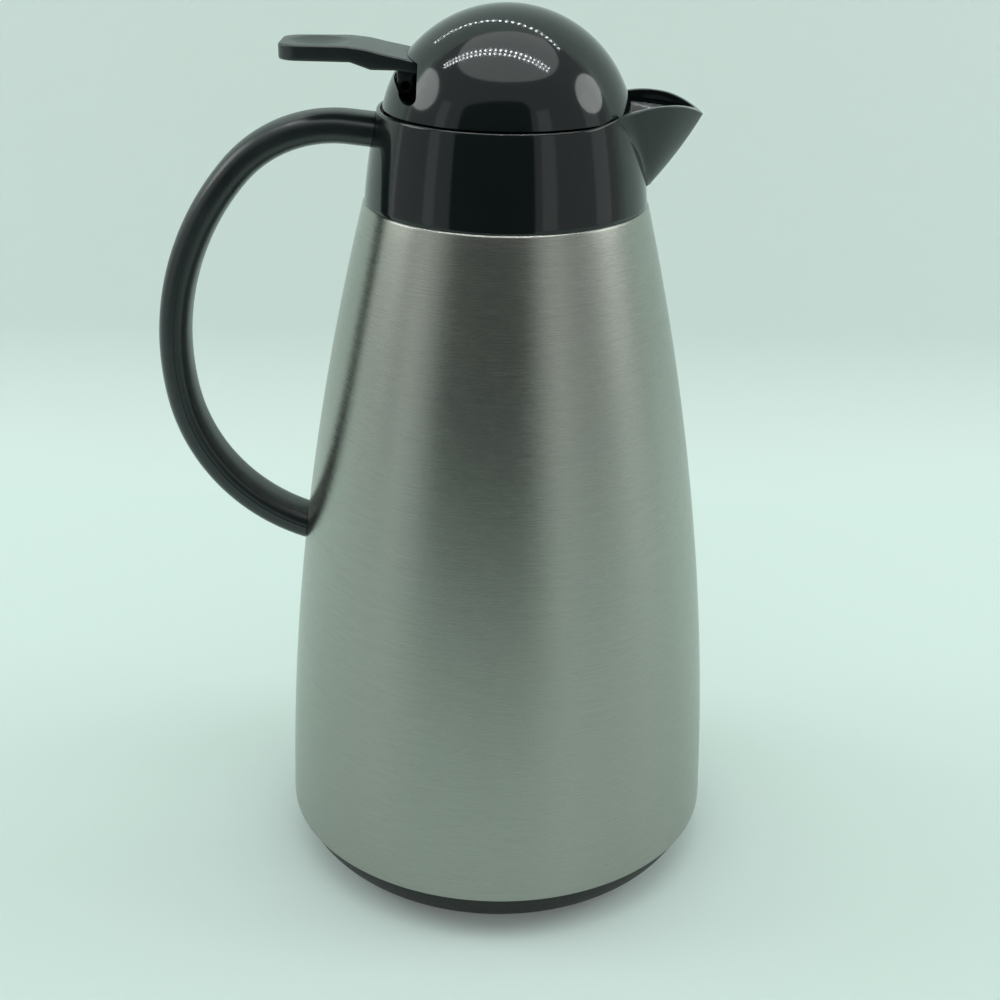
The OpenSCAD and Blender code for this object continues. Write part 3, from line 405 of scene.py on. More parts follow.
def build_collar():
    """The collar, with its columns set closer near the front of the spout."""
    front, back, reach = 90, 150, 0.62
    spread = np.linspace(-1, 1, 2 * front + 1)
    angles = np.sign(spread) * abs(spread) ** 1.35 * reach
    angles = np.concatenate([angles, np.linspace(reach, 2 * math.pi - reach, back + 2)[1:-1]])
    points, rows = [], None
    for a in angles:
        signed = a if a <= math.pi else a - 2 * math.pi
        column = collar_column(signed, 46, 18)
        rows = len(column)
        points.append([(r * math.cos(a), r * math.sin(a), z) for r, z in column])
    grid = np.array(points).transpose(1, 0, 2).reshape(-1, 3)
    faces = grid_faces(rows, len(angles), wrap_rows=True)
    return new_piece("collar_and_spout", grid, faces, "carafe", ["collar"], sharp=38)


# Handle: two mouldings swept along three bends
HANDLE_X = 46.2
HANDLE_RISE = 26.1
HANDLE_HEADING = 174.0
HANDLE_BENDS = ((46.3, 54.5), (90.0, 52.0), (62.0, 62.0))  # radius and angle
HANDLE_T = 9.8
HANDLE_W = 15.0
HANDLE_SWELL = 0.12
HANDLE_JOINT_T = 5.4
HANDLE_CREASE = 0.3
HANDLE_POWER = 0.78  # how round the section is: 1 is an ellipse
HANDLE_STEPS = 41
HANDLE_START, HANDLE_END = 12, 16  # straight stretches that reach into the body
BODY_GAP = 0.1


def handle_path(step=1.0):
    """Places along the outer surface of the handle: x, z, heading in radians, share of the way."""
    heading = math.radians(HANDLE_HEADING)
    at = np.array((-HANDLE_X, SHELL_TOP_Z + HANDLE_RISE))
    back = np.array((math.cos(heading), math.sin(heading)))
    places = [(*(at - back * d), heading) for d in np.arange(HANDLE_START, 0, -step)]
    places.append((*at, heading))
    for radius, angle in HANDLE_BENDS:
        centre = at + radius * np.array((-math.sin(heading), math.cos(heading)))
        count = int(math.radians(angle) * radius / step)
        for k in range(1, count + 1):
            turned = heading + math.radians(angle) * k / count
            place = centre + radius * np.array((math.sin(turned), -math.cos(turned)))
            places.append((*place, turned))
        heading += math.radians(angle)
        at = np.array(places[-1][:2])
    ahead = np.array((math.cos(heading), math.sin(heading)))
    places += [(*(at + ahead * d), heading) for d in np.arange(step, HANDLE_END, step)]
    places = np.array(places)
    run = np.concatenate([[0], np.cumsum(np.linalg.norm(np.diff(places[:, :2], axis=0), axis=1))])
    return places, run / run[-1]


def body_radius(z):
    """Outer radius of the steel body or, above it, of the collar."""
    side = np.array(arc_outline(shell_foot, shell_lip, SHELL_ARC_R, SIDE_STEPS))
    steel = np.interp(z, side[:, 1], side[:, 0])
    return np.where(z > SHELL_TOP_Z, collar_radius(z), steel)


def half_section(width, joint, depth):
    """Half of a rounded section on one side of the joint between the two mouldings."""
    line = []
    for a in np.linspace(0, math.pi, HANDLE_STEPS):
        across = math.copysign(abs(math.cos(a)) ** HANDLE_POWER, math.cos(a)) * width / 2
        line.append((joint + depth * math.sin(a) ** HANDLE_POWER, across))
    return line


def sweep_handle(name, outline, node):
    """Sweeps an outline along the handle and ends every line of it on the body's surface."""
    places, share = handle_path()
    lines = []
    for depth, across in outline:
        swell = 1 + HANDLE_SWELL * (2 * share - 1) ** 2
        x = places[:, 0] - np.sin(places[:, 2]) * depth
        z = places[:, 1] + np.cos(places[:, 2]) * depth
        lines.append(np.stack([x, across * swell, z], 1))
    stations = len(share)
    grid = np.zeros((stations, len(outline), 3))
    for j, line in enumerate(lines):
        outside = np.hypot(line[:, 0], line[:, 1]) - body_radius(line[:, 2]) - BODY_GAP
        clear = np.where(outside > 0)[0]
        first, last = clear[0], clear[-1]
        start = first - outside[first] / (outside[first] - outside[first - 1])
        end = last + outside[last] / (outside[last] - outside[last + 1])
        spots = np.linspace(start, end, stations)
        for axis in range(3):
            grid[:, j, axis] = np.interp(spots, np.arange(len(line)), line[:, axis])
    count = len(outline)
    faces = grid_faces(stations, count)
    faces.append(tuple(range(count)))
    faces.append(tuple(range(stations * count - 1, (stations - 1) * count - 1, -1)))
    return new_piece(name, grid.reshape(-1, 3), faces, "carafe", [node], sharp=40)


def build_handle():
    """The outer moulding and its cover, which is a little narrower, so that their joint shows."""
    outer = half_section(HANDLE_W, HANDLE_JOINT_T, -HANDLE_JOINT_T)
    inner = half_section(HANDLE_W - 2 * HANDLE_CREASE, HANDLE_JOINT_T, HANDLE_T - HANDLE_JOINT_T)
    return [
        sweep_handle("handle_outer", outer, "handle"),
        sweep_handle("handle_inner", inner, "handle_cover"),
    ]


# Lid: a dome with a notch for the lever, shaded as a true sphere
DOME_WALL = 2.2
NOTCH_R = 2.8
NOTCH_X = -28.5
NOTCH_LOW_Z = RIM_Z + 4.3
LEVER_Z = RIM_Z + 18.8
LEVER_TIP_X = -66.7
SEAM_GAP = 0.25
BALL_TURNS = 224
DOME_SHARP = 25.0  # degrees
BALL_CLOSE = 0.02  # a face this near to a ball lies on it
FAR_BACK_X = -90  # behind everything that the notch cuts


def lever_top_line():
    """The top of the lever from its end to the dome, as (x, z)."""
    line = np.array(
        [
            (LEVER_TIP_X - 4, LEVER_Z),
            (LEVER_TIP_X + 20, LEVER_Z),
            (LEVER_TIP_X + 26, LEVER_Z - 0.7),
            (PIN[0] - 6, LEVER_Z - 2),
            (PIN[0], LEVER_Z - 3.1),
            (NOTCH_X + NOTCH_R, LEVER_Z - 4.1),
        ]
    )
    x = np.linspace(line[0][0], line[-1][0], 80)
    z = np.interp(x, line[:, 0], line[:, 1])
    for _ in range(12):
        z[1:-1] = (z[:-2] + 2 * z[1:-1] + z[2:]) / 4
    return x, z


def notch_outline():
    """The cut through the back of the dome, seen from the side."""
    x, z = lever_top_line()
    bottom = [
        (NOTCH_X + NOTCH_R * math.cos(a), NOTCH_LOW_Z + NOTCH_R + NOTCH_R * math.sin(a))
        for a in np.linspace(0, -math.pi, 25)
    ]
    back_z = NOTCH_LOW_Z + NOTCH_R + 2.4
    back = [(NOTCH_X - NOTCH_R - 1.9, back_z), (FAR_BACK_X, back_z)]
    top = [(a, b + SEAM_GAP) for a, b in zip(x, z)]
    return [*bottom, *back, (FAR_BACK_X, LEVER_Z + SEAM_GAP), *top]


def ball(radius, centre_z, low_z, rings=110):
    """Points and faces of the part of a ball above a height, open below."""
    turns = BALL_TURNS
    top = math.pi / 2
    low = math.asin((low_z - centre_z) / radius)
    points = []
    for lift in np.linspace(low, top, rings)[:-1]:
        r = radius * math.cos(lift)
        for a in np.arange(turns) * 2 * math.pi / turns:
            points.append((r * math.cos(a), r * math.sin(a), centre_z + radius * math.sin(lift)))
    faces = grid_faces(rings - 1, turns)
    points.append((0, 0, centre_z + radius))
    last = (rings - 2) * turns
    faces += [(last + j, last + (j + 1) % turns, len(points) - 1) for j in range(turns)]
    return points, faces


def prism(outline, half_w):
    """Points and faces of an XZ outline extruded evenly along Y."""
    count = len(outline)
    points = [(x, side * half_w, z) for side in (-1, 1) for x, z in outline]
    faces = [(k, (k + 1) % count, count + (k + 1) % count, count + k) for k in range(count)]
    return points, [*faces, tuple(range(count))[::-1], tuple(range(count, 2 * count))]


def scrap(name, points, faces):
    """An object for a boolean, deleted after it."""
    return add_object(name, closed_mesh(name, points, faces))


def cut(piece, cutter):
    """Takes the cutter out of the piece for good."""
    boolean = piece.modifiers.new("cut", "BOOLEAN")
    boolean.operation = "DIFFERENCE"
    boolean.solver = "EXACT"
    boolean.object = cutter
    bpy.context.view_layer.update()
    shown = piece.evaluated_get(bpy.context.evaluated_depsgraph_get())
    result = bpy.data.meshes.new_from_object(shown)
    piece.modifiers.clear()
    piece.data = result
    bpy.data.objects.remove(cutter)


def shade_as_ball(piece, centre_z, radii):
    """Gives the faces that lie on one of the balls the ball's own normals."""
    mesh = piece.data
    smooth(mesh, DOME_SHARP)
    normals = [Vector(n.vector) for n in mesh.corner_normals]
    centre = Vector((0, 0, centre_z * MM))
    for face in mesh.polygons:
        away = [(mesh.vertices[v].co - centre).length / MM for v in face.vertices]
        if any(max(abs(d - r) for d in away) < BALL_CLOSE for r in radii):
            for k in face.loop_indices:
                out = (mesh.vertices[mesh.loops[k].vertex_index].co - centre).normalized()
                normals[k] = out if out.dot(face.normal) > 0 else -out
    mesh.normals_split_custom_set(normals)


def build_dome():
    """A hollow ball closed by a flat rim, with the notch cut through its back."""
    low = RIM_Z + SEAM
    points, faces = ball(DOME_R, DOME_Z, low)
    inside, inside_faces = ball(DOME_R - DOME_WALL, DOME_Z, low)
    offset = len(points)
    turns = BALL_TURNS
    faces += [tuple(k + offset for k in f) for f in inside_faces]
    faces += [(j, offset + j, offset + (j + 1) % turns, (j + 1) % turns) for j in range(turns)]
    dome = new_piece("lid_dome", points + inside, faces, "flip_lid", ["dome_lid"])
    cut(dome, scrap("notch", *prism(notch_outline(), 60)))
    shade_as_ball(dome, DOME_Z, (DOME_R, DOME_R - DOME_WALL))
    return dome


# Thumb lever: sections across X with a rounded end and a thumb dish
LEVER_T = 4.5
LEVER_W = 25.0
LEVER_TIP_W = 21.0
LEVER_CORNER_R = 6.0
LEVER_EDGE = 0.7
LEVER_STEP = 0.35
LEVER_ACROSS = 61  # points across the top and across the underside
THUMB_R = 9.0
THUMB_DEPTH = 1.4
EAR_T = 2.8
EAR_R = 2.4
EAR_DROP = 6.0  # of the ears' top below the top of the lever
EAR_EDGE = 0.35


def lever_underside(x):
    """Height of the lever's underside, which is thicker near the pin."""
    line = [
        (LEVER_TIP_X - 2, LEVER_Z - LEVER_T),
        (PIN[0] - 16, LEVER_Z - LEVER_T),
        (PIN[0] - 10, LEVER_Z - LEVER_T - 2),
        (PIN[0] - 3, LEVER_Z - LEVER_T - 2),
        (NOTCH_X + NOTCH_R, LEVER_Z - LEVER_T - 3.1),
    ]
    return np.interp(x, [p[0] for p in line], [p[1] for p in line])


def thumb_drop(x, y):
    """Depth of the thumb dish at a place on the lever, with a softened edge."""
    away = np.hypot(x - (LEVER_TIP_X + THUMB_R + 2.4), y)
    curve_r = (THUMB_R**2 + THUMB_DEPTH**2) / (2 * THUMB_DEPTH)
    depth = np.sqrt(np.maximum(curve_r**2 - away**2, 0)) - (curve_r - THUMB_DEPTH)
    soft = 0.12
    return (depth + np.sqrt(depth**2 + soft**2)) / 2 - soft * 0.15


def lever_ring(x, half, high, low):
    """The closed section of the lever at a place along it, with rounded edges."""
    y = np.linspace(-1, 1, LEVER_ACROSS) * (half - LEVER_EDGE)
    dished = x - LEVER_TIP_X > 0.8
    top = [(x, b, high - float(thumb_drop(x, b)) * dished) for b in y]
    underside = [(x, b, low) for b in y[::-1]]
    falling, rising = np.radians((70, 45, 20, 0)), np.radians((0, 20, 45, 70))

    def edge(side, level, way, turns):
        out = [LEVER_EDGE * (1 - math.cos(t)) for t in turns]
        up = [LEVER_EDGE * (1 - math.sin(t)) for t in turns]
        return [(x, side * (half - a), level + way * b) for a, b in zip(out, up)]

    right = edge(1, high, -1, falling) + edge(1, low, 1, rising)
    left = edge(-1, low, 1, falling) + edge(-1, high, -1, rising)
    return [*top, *right, *underside, *left]


def build_lever():
    """The thumb lever, from its rounded end to its root inside the dome."""
    x_top, z_top = lever_top_line()
    root_x = NOTCH_X + NOTCH_R - 0.3
    near_end = LEVER_TIP_X + (1 - np.cos(np.linspace(0, math.pi / 2, 26))) * LEVER_CORNER_R
    rest = np.arange(near_end[-1] + LEVER_STEP, root_x, LEVER_STEP)
    stations = np.concatenate([near_end, rest, [root_x]])
    points = []
    for x in stations:
        from_end = x - LEVER_TIP_X
        widths = (LEVER_TIP_W, LEVER_W, LEVER_W)
        half = np.interp(x, [LEVER_TIP_X, PIN[0] - 4, 0], [w / 2 for w in widths])
        inset = max(LEVER_CORNER_R - from_end, 0)
        half -= LEVER_CORNER_R - math.sqrt(LEVER_CORNER_R**2 - inset**2)
        edge = max(LEVER_EDGE - from_end, 0)
        shrink = LEVER_EDGE - math.sqrt(LEVER_EDGE**2 - edge**2)
        high = np.interp(x, x_top, z_top) - shrink
        low = float(lever_underside(x)) + shrink
        points.append(lever_ring(x, half, high, low))
    count = len(points[0])
    grid = np.array(points).reshape(-1, 3)
    faces = grid_faces(len(stations), count)
    for start in (0, (len(stations) - 1) * count):
        for k in range(LEVER_ACROSS - 1):
            low_k = 2 * LEVER_ACROSS + 7 - k
            faces.append((start + k, start + k + 1, start + low_k - 1, start + low_k))
    return new_piece("lever_pad", grid, faces, "flip_lid", ["thumb_lever"], sharp=50)


def build_ears():
    """The two ears that carry the hinge pin under the lever."""
    ear_out = node_box("hinge_pin")[1][1]
    ear_in = ear_out - EAR_T
    points, faces = [], []
    for side in (-1, 1):
        outline = filleted(
            [
                (PIN[0] - EAR_R, PIN[2] - EAR_R, EAR_R - 0.1),
                (PIN[0] + EAR_R, PIN[2] - EAR_R, EAR_R - 0.1),
                (PIN[0] + EAR_R, LEVER_Z - EAR_DROP, 0.4),
                (PIN[0] - EAR_R, LEVER_Z - EAR_DROP, 0.4),
            ],
            8,
        )
        count = len(outline)
        levels = [(ear_in, EAR_EDGE), (ear_in + EAR_EDGE, 0.0)]
        levels += [(ear_out - EAR_EDGE, 0.0), (ear_out, EAR_EDGE)]
        centre = outline.mean(0)
        start = len(points)
        for y, inset in levels:
            for p in outline:
                away = p - centre
                q = centre + away * (1 - inset / np.linalg.norm(away))
                points.append((q[0], side * y, q[1]))
        faces += [tuple(k + start for k in f) for f in grid_faces(len(levels), count)]
        for level in (0, len(levels) - 1):
            first = start + level * count
            faces.append(tuple(range(first, first + count)))
    return new_piece(
        "lever_ears", points, faces, "flip_lid", ["thumb_lever"], sharp=50
    )


# Build
body_piece = build_steel_body()
collar_piece = build_collar()
handle_pieces = build_handle()
dome_piece = build_dome()
lever_piece = build_lever()
ear_piece = build_ears()


# Materials
def linear(r, g, b):
    """A colour given as sRGB values from 0 to 255, in linear light."""
    parts = [v / 255 for v in (r, g, b)]
    return [v / 12.92 if v <= 0.04045 else ((v + 0.055) / 1.055) ** 2.4 for v in parts] + [1]


class Shader:
    """A Principled material with short calls for the nodes used here."""

    def __init__(self, name, **values):
        self.material = bpy.data.materials.new(name)
        self.material.use_nodes = True
        self.tree = self.material.node_tree
        self.main = self.tree.nodes["Principled BSDF"]
        self.place = self.add("ShaderNodeTexCoord").outputs["Object"]
        for key, value in values.items():
            self.main.inputs[key.replace("_", " ")].default_value = value

    def add(self, kind, **settings):
        node = self.tree.nodes.new(kind)
        for key, value in settings.items():
            setattr(node, key, value)
        return node

    def link(self, source, target):
        self.tree.links.new(source, target)

    def noise(self, scale, stretch=(1, 1, 1), detail=3.0, roughness=0.5):
        """Noise from 0 to 1; scale is features per metre, stretch multiplies it along each axis."""
        mapping = self.add("ShaderNodeMapping")
        mapping.inputs["Scale"].default_value = stretch
        texture = self.add("ShaderNodeTexNoise")
        texture.inputs["Scale"].default_value = scale
        texture.inputs["Detail"].default_value = detail
        texture.inputs["Roughness"].default_value = roughness
        self.link(self.place, mapping.inputs["Vector"])
        self.link(mapping.outputs[0], texture.inputs["Vector"])
        return texture.outputs["Fac"]

    def remap(self, value, low, high, to_low=0.0, to_high=1.0):
        """A value taken from one range to another, and held at the ends."""
        node = self.add("ShaderNodeMapRange")
        ends = {"From Min": low, "From Max": high, "To Min": to_low, "To Max": to_high}
        for key, number in ends.items():
            node.inputs[key].default_value = number
        self.link(value, node.inputs["Value"])
        return node.outputs["Result"]

    def mix(self, factor, a, b):
        """A colour between two, each a constant or another node's output."""
        node = self.add("ShaderNodeMix", data_type="RGBA")
        self.link(factor, node.inputs["Factor"])
        for value, socket in ((a, node.inputs["A"]), (b, node.inputs["B"])):
            if isinstance(value, (list, tuple)):
                socket.default_value = value
            else:
                self.link(value, socket)
        return node.outputs["Result"]

    def math(self, operation, a, b):
        """A sum, product or maximum of two values, each a constant or another node's output."""
        node = self.add("ShaderNodeMath", operation=operation)
        for value, socket in zip((a, b), node.inputs):
            if isinstance(value, (int, float)):
                socket.default_value = value
            else:
                self.link(value, socket)
        return node.outputs[0]

    def bump(self, height, distance, strength):
        """Makes the surface rise and fall with a height, by a distance in metres."""
        node = self.add("ShaderNodeBump")
        node.inputs["Distance"].default_value = distance
        node.inputs["Strength"].default_value = strength
        self.link(height, node.inputs["Height"])
        self.link(node.outputs[0], self.main.inputs["Normal"])

    def surface(self, colour=None, roughness=None):
        """Gives the material a colour, a roughness or both, from other nodes."""
        for source, name in ((colour, "Base Color"), (roughness, "Roughness")):
            if source is not None:
                self.link(source, self.main.inputs[name])

    def wear(self, pieces):
        """Puts the material on pieces in place of what they had."""
        for piece in pieces:
            piece.data.materials.clear()
            piece.data.materials.append(self.material)


def brushed_steel():
    """Steel brushed round the body: fine level lines that spread reflections up and down."""
    s = Shader("brushed_steel", Metallic=1.0, Anisotropic=0.9, Anisotropic_Rotation=0.25)
    lines = s.noise(60, stretch=(1, 1, 90), detail=4, roughness=0.6)
    fine = s.noise(90, stretch=(1, 1, 260), detail=3, roughness=0.7)
    clouds = s.noise(14, stretch=(1, 1, 0.6), detail=4, roughness=0.6)
    dark, light, stained = linear(156, 157, 151), linear(168, 169, 163), linear(163, 163, 155)
    shade = s.mix(s.remap(lines, 0.3, 0.7), dark, light)
    brushing = s.remap(fine, 0.2, 0.8, 0.2, 0.3)
    handling = s.remap(clouds, 0.3, 0.8, 0.0, 0.05)
    s.surface(s.mix(s.remap(clouds, 0.35, 0.75), shade, stained), s.math("ADD", brushing, handling))
    tangent = s.add("ShaderNodeTangent", direction_type="RADIAL", axis="Z")
    s.link(tangent.outputs[0], s.main.inputs["Tangent"])
    s.bump(fine, 0.00004, 0.5)
    return s


def moulded_black(name, specular, clouds, shades, rough, grain_scale, grain_strength):
    """Black plastic with faint clouds in its colour and gloss and a very fine grain.

    clouds holds their scale and detail.
    """
    s = Shader(name, Specular_IOR_Level=specular, IOR=1.5)
    scale, detail = clouds
    cloud = s.noise(scale, detail=detail, roughness=0.6)
    grain = s.noise(grain_scale, detail=2)
    spread = s.remap(cloud, 0.3, 0.8)
    s.surface(s.mix(spread, *shades), s.remap(cloud, 0.3, 0.8, *rough))
    s.bump(grain, 0.00001, grain_strength)
    return s


def gloss_black():
    shades = linear(15, 21, 22), linear(21, 28, 29)
    return moulded_black("gloss_black_plastic", 0.5, (30, 5), shades, (0.06, 0.13), 900, 0.4)


def satin_black():
    shades = linear(24, 32, 33), linear(32, 41, 42)
    return moulded_black("satin_black_plastic", 0.6, (40, 4), shades, (0.26, 0.36), 1800, 0.5)


def grained(name, grain, shades, rough, depth, strength, **values):
    """A material whose colour, roughness and bump all follow one noise.

    grain holds the arguments of the noise, and rough one roughness or a range of it.
    """
    s = Shader(name, **values)
    pattern = s.noise(*grain)
    s.surface(s.mix(pattern, *shades))
    if isinstance(rough, tuple):
        s.surface(roughness=s.remap(pattern, 0.3, 0.7, *rough))
    else:
        s.main.inputs["Roughness"].default_value = rough
    s.bump(pattern, depth, strength)
    return s


def matte_black():
    shades, even = (linear(12, 12, 13), linear(20, 20, 21)), (1, 1, 1)
    return grained(
        "matte_black_plastic", (1400, even, 3), shades, (0.42, 0.58), 0.00005, 0.5,
        Specular_IOR_Level=0.4,
    )


def rubber():
    shades, even = (linear(38, 38, 38), linear(52, 52, 51)), (1, 1, 1)
    return grained(
        "black_rubber", (2200, even, 2), shades, (0.7, 0.85), 0.00003, 0.6,
        Specular_IOR_Level=0.3,
    )


def plated_steel():
    shades, turned = (linear(178, 178, 174), linear(206, 205, 200)), (1, 1, 4)
    return grained(
        "plated_steel", (500, turned, 3), shades, (0.2, 0.34), 0.00002, 0.4, Metallic=1.0
    )


def silvered_glass():
    shades, drawn = (linear(205, 212, 210), linear(226, 232, 230)), (1, 1, 0.4)
    return grained(
        "silvered_glass", (60, drawn, 2), shades, (0.04, 0.09), 0.0004, 0.3,
        Metallic=1.0, Coat_Weight=0.6,
    )


def rigid_foam():
    shades, even = (linear(214, 206, 180), linear(236, 230, 208)), (1, 1, 1)
    return grained("rigid_foam", (900, even, 4), shades, 0.9, 0.0002, 0.8)


def pressed_mineral():
    shades, even = (linear(150, 142, 126), linear(186, 178, 160)), (1, 1, 1)
    return grained("pressed_mineral", (1500, even, 3), shades, 0.85, 0.00008, 0.6)


STEEL = brushed_steel()
GLOSS = gloss_black()
SATIN = satin_black()
MATTE = matte_black()
RUBBER = rubber()
PLATED = plated_steel()
GLASS = silvered_glass()
FOAM = rigid_foam()
MINERAL = pressed_mineral()
FINISHES = {
    "steel_body": STEEL,
    "gloss_black": GLOSS,
    "matte_black": MATTE,
    "black_rubber": RUBBER,
    "plated_steel": PLATED,
    "silvered_glass": GLASS,
    "foam": FOAM,
    "spacer_ceramic": MINERAL,
}

STEEL.wear([body_piece])
GLOSS.wear([collar_piece, dome_piece])
SATIN.wear([*handle_pieces, lever_piece, ear_piece])
for part in frame["record"]["subparts"]:
    node = frame["nodes"][part["node"]]
    FINISHES[part["material_slot"]].wear([node])


# Stage: a pale sheet that bends up behind the carafe
SHEET_BEND_Y = 0.27
SHEET_BEND_R = 0.07
GLOW_Y = (-0.3, 0.25)
GLOW_FLOOR = (0.04, 0.15)
GLOW_WALL = 0.08
GLOW_TINT = (0.96, 1.0, 0.99, 1)
SHEET_HALF_W = 1.6
SHEET_FRONT_Y, SHEET_TOP_Z = -1.6, 1.2
# Below this height the sheet is painted lighter, as painted light on the floor
WALL_SHADE_Z = 0.09  # height at which the sheet has its wall's colour
ROOM_TINT = (0.95, 1.0, 0.98)
ROOM_GLOW = 0.45
DARK_CARD_Y = -0.60
DARK_CARD_LOW_Z = 0.002
DARK_CARD_GLOW = 0.04
DARK_CARD_LEFT, DARK_CARD_RIGHT, DARK_CARD_TOP, DARK_CARD_CORNER = -0.58, 0.25, 0.74, 0.12
# Azimuth from the camera's side and half width of each light panel, in degrees
PANELS = ((-106, 7), (-63, 5), (35, 6), (84, 8))
PANEL_AWAY, PANEL_LOW_Z, PANEL_TOP_Z, PANEL_GLOW = 1.5, 0.02, 1.1, 0.8
STRIP_Z = 0.5
STRIP_ENDS = (((-0.25, 0.27), (0.157, 0.062)), ((-0.242, 0.01), (0.148, -0.077)))
STRIP_DOTS = 26
STRIP_GLOW, STRIP_TINT = 60, (0.93, 0.97, 1.0)
DOT_LONG, DOT_WIDE = 0.0075, 0.0035
ROW_PITCH = 2.2  # between the two rows of the near strip, in lengths of a dot


def build_backdrop():
    """One sheet for floor and wall, its floor painted lighter than its wall as painted light; it
    glows a little for the camera and in reflections.
    """
    angles = np.linspace(0, math.pi / 2, 24)
    wall_y = SHEET_BEND_Y + SHEET_BEND_R
    line = [(SHEET_FRONT_Y, 0), (-0.4, 0), (0, 0)]
    for a in angles:
        line.append((SHEET_BEND_Y + SHEET_BEND_R * math.sin(a), SHEET_BEND_R * (1 - math.cos(a))))
    line += [(wall_y, 0.4), (wall_y, SHEET_TOP_Z)]
    mesh = bpy.data.meshes.new("backdrop")
    points = [(side * SHEET_HALF_W, y, z) for side in (-1, 1) for y, z in line]
    count = len(line)
    faces = [(k, count + k, count + k + 1, k + 1) for k in range(count - 1)]
    mesh.from_pydata(points, [], faces)
    mesh.polygons.foreach_set("use_smooth", [True] * len(mesh.polygons))
    sheet = add_object("backdrop", mesh)
    s = Shader("pale_sheet", Roughness=0.9, Specular_IOR_Level=0.1)
    split = s.add("ShaderNodeSeparateXYZ")
    s.link(s.place, split.inputs[0])
    up = s.remap(split.outputs["Z"], 0.0, WALL_SHADE_Z)
    # Painted light: the floor part of the sheet is painted lighter than its upright part, where the
    # top lamp falls on it
    painted_light_floor_colour, wall_colour = linear(214, 232, 226), linear(197, 214, 208)
    s.surface(s.mix(up, painted_light_floor_colour, wall_colour))
    # No diffuse ray sees the glow, so it lights nothing; it grows towards the far side
    rays = s.add("ShaderNodeLightPath")
    seen = s.math("MAXIMUM", rays.outputs["Is Camera Ray"], rays.outputs["Is Glossy Ray"])
    seen = s.math("MAXIMUM", seen, rays.outputs["Is Transmission Ray"])
    floor_glow = s.remap(split.outputs["Y"], *GLOW_Y, *GLOW_FLOOR)
    glow = s.math("ADD", floor_glow, s.remap(up, 0.0, 1.0, 0.0, GLOW_WALL))
    s.main.inputs["Emission Color"].default_value = GLOW_TINT
    s.link(s.math("MULTIPLY", glow, seen), s.main.inputs["Emission Strength"])
    s.wear([sheet])


def add_lamp(name, place, target, size, power):
    """A soft elliptical lamp that looks from a place at a target."""
    lamp = bpy.data.lights.new(name, "AREA")
    lamp.shape = "ELLIPSE"
    lamp.size, lamp.size_y = size
    lamp.energy = power
    lamp.color = ROOM_TINT
    holder = add_object(name, lamp)
    holder.location = place
    holder.rotation_euler = (Vector(target) - Vector(place)).to_track_quat("-Z", "Y").to_euler()


def stage_card(name, points, faces, glow, colour=ROOM_TINT):
    """A card of the studio that only reflections show, glowing at a plain level."""
    mesh = bpy.data.meshes.new(name)
    mesh.from_pydata(points, [], faces)
    card = add_object(name, mesh)
    card.visible_camera = card.visible_diffuse = card.visible_shadow = False
    s = Shader(name, Roughness=1.0, Specular_IOR_Level=0.0, Emission_Strength=glow)
    s.main.inputs["Base Color"].default_value = (0, 0, 0, 1)
    s.main.inputs["Emission Color"].default_value = (*colour, 1)
    s.wear([card])


def build_dark_card():
    """The camera's side of the room, which the gloss reflects as one dark upright shape."""
    outline = filleted(
        [
            (DARK_CARD_LEFT, DARK_CARD_LOW_Z, 0),
            (DARK_CARD_RIGHT, DARK_CARD_LOW_Z, 0),
            (DARK_CARD_RIGHT, DARK_CARD_TOP, DARK_CARD_CORNER),
            (DARK_CARD_LEFT, DARK_CARD_TOP, DARK_CARD_CORNER),
        ],
        8,
    )
    points = [(x, DARK_CARD_Y, z) for x, z in outline]
    stage_card("dark_card", points, [tuple(range(len(points)))], DARK_CARD_GLOW)


def build_panels():
    """Upright light panels of the room, which the steel reflects as long soft bands."""
    points, faces = [], []
    for middle, half in PANELS:
        count = len(points)
        corners = [(-half, PANEL_LOW_Z), (half, PANEL_LOW_Z)]
        corners += [(half, PANEL_TOP_Z), (-half, PANEL_TOP_Z)]
        for turn, z in corners:
            a = math.radians(middle + turn)
            points.append((PANEL_AWAY * math.sin(a), -PANEL_AWAY * math.cos(a), z))
        faces.append(tuple(range(count, count + 4)))
    stage_card("light_panels", points, faces, PANEL_GLOW)


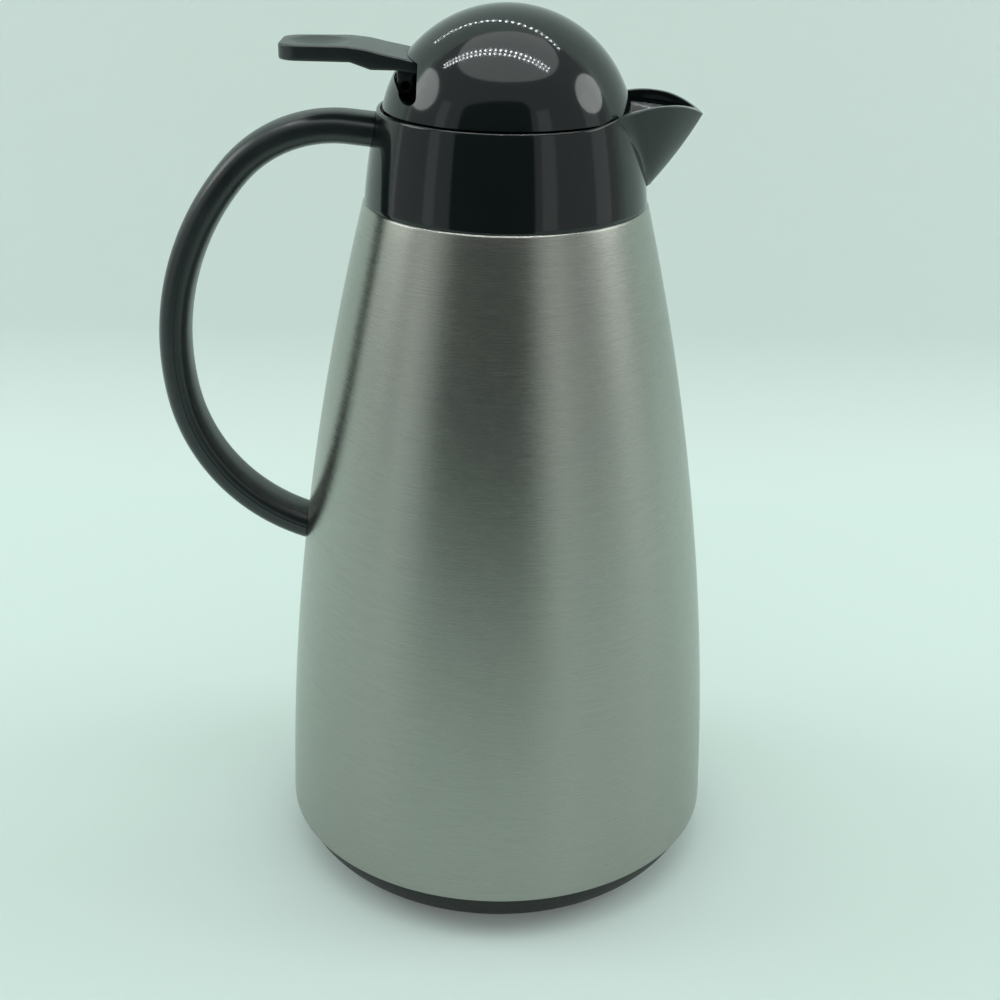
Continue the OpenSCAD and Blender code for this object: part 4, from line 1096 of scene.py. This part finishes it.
def build_strips():
    """Rows of small lights on the ceiling, which the dome reflects as dotted arcs."""
    points, faces = [], []
    for k, (start, end) in enumerate(STRIP_ENDS):
        start, end = Vector((*start, 0)), Vector((*end, 0))
        along = (end - start).normalized()
        across = Vector((-along.y, along.x, 0))
        rows = (-0.5, 0.5) if k else (0,)
        for row in rows:
            shift = across * row * ROW_PITCH * DOT_LONG
            for dot in range(STRIP_DOTS):
                middle = start + (end - start) * dot / (STRIP_DOTS - 1) + shift
                count = len(points)
                for a, b in ((-1, -1), (1, -1), (1, 1), (-1, 1)):
                    corner = middle + along * a * DOT_WIDE / 2 + across * b * DOT_LONG / 2
                    points.append((corner.x, corner.y, STRIP_Z))
                faces.append(tuple(range(count, count + 4)))
    stage_card("light_strips", points, faces, STRIP_GLOW, STRIP_TINT)


build_backdrop()
build_dark_card()
build_panels()
build_strips()
add_lamp("top_light", place=(0.0, -0.1, 1.5), target=(0, 0, 0), size=(1.8, 1.4), power=8)
add_lamp("left_light", place=(-1.0, 0.10, 0.75), target=(0, 0, 0.2), size=(0.7, 0.5), power=2.6)
add_lamp("right_light", place=(1.0, 0.05, 0.75), target=(0, 0, 0.2), size=(0.6, 0.5), power=2.4)

world = bpy.data.worlds.new("room")
world.use_nodes = True
room = world.node_tree.nodes["Background"]
room.inputs["Color"].default_value = (*ROOM_TINT, 1)
room.inputs["Strength"].default_value = ROOM_GLOW
bpy.context.scene.world = world
bpy.context.scene.view_settings.view_transform = "Standard"


# Camera
CAMERA_AT = (-0.00008, -0.48595, 0.34136)
CAMERA_PITCH, CAMERA_ROLL, CAMERA_YAW = 24.274, 0.888, 0.029  # degrees
CAMERA_LENS = 58.25
CAMERA_SENSOR_W = 36

camera_data = bpy.data.cameras.new("camera")
camera_data.sensor_width = CAMERA_SENSOR_W
camera_data.lens = CAMERA_LENS
camera = add_object("camera", camera_data)
camera.location = CAMERA_AT
turn = Euler((math.radians(90 - CAMERA_PITCH), 0, math.radians(CAMERA_YAW)), "XYZ").to_matrix()
camera.rotation_euler = (turn @ Euler((0, 0, math.radians(CAMERA_ROLL))).to_matrix()).to_euler()
bpy.context.scene.camera = camera
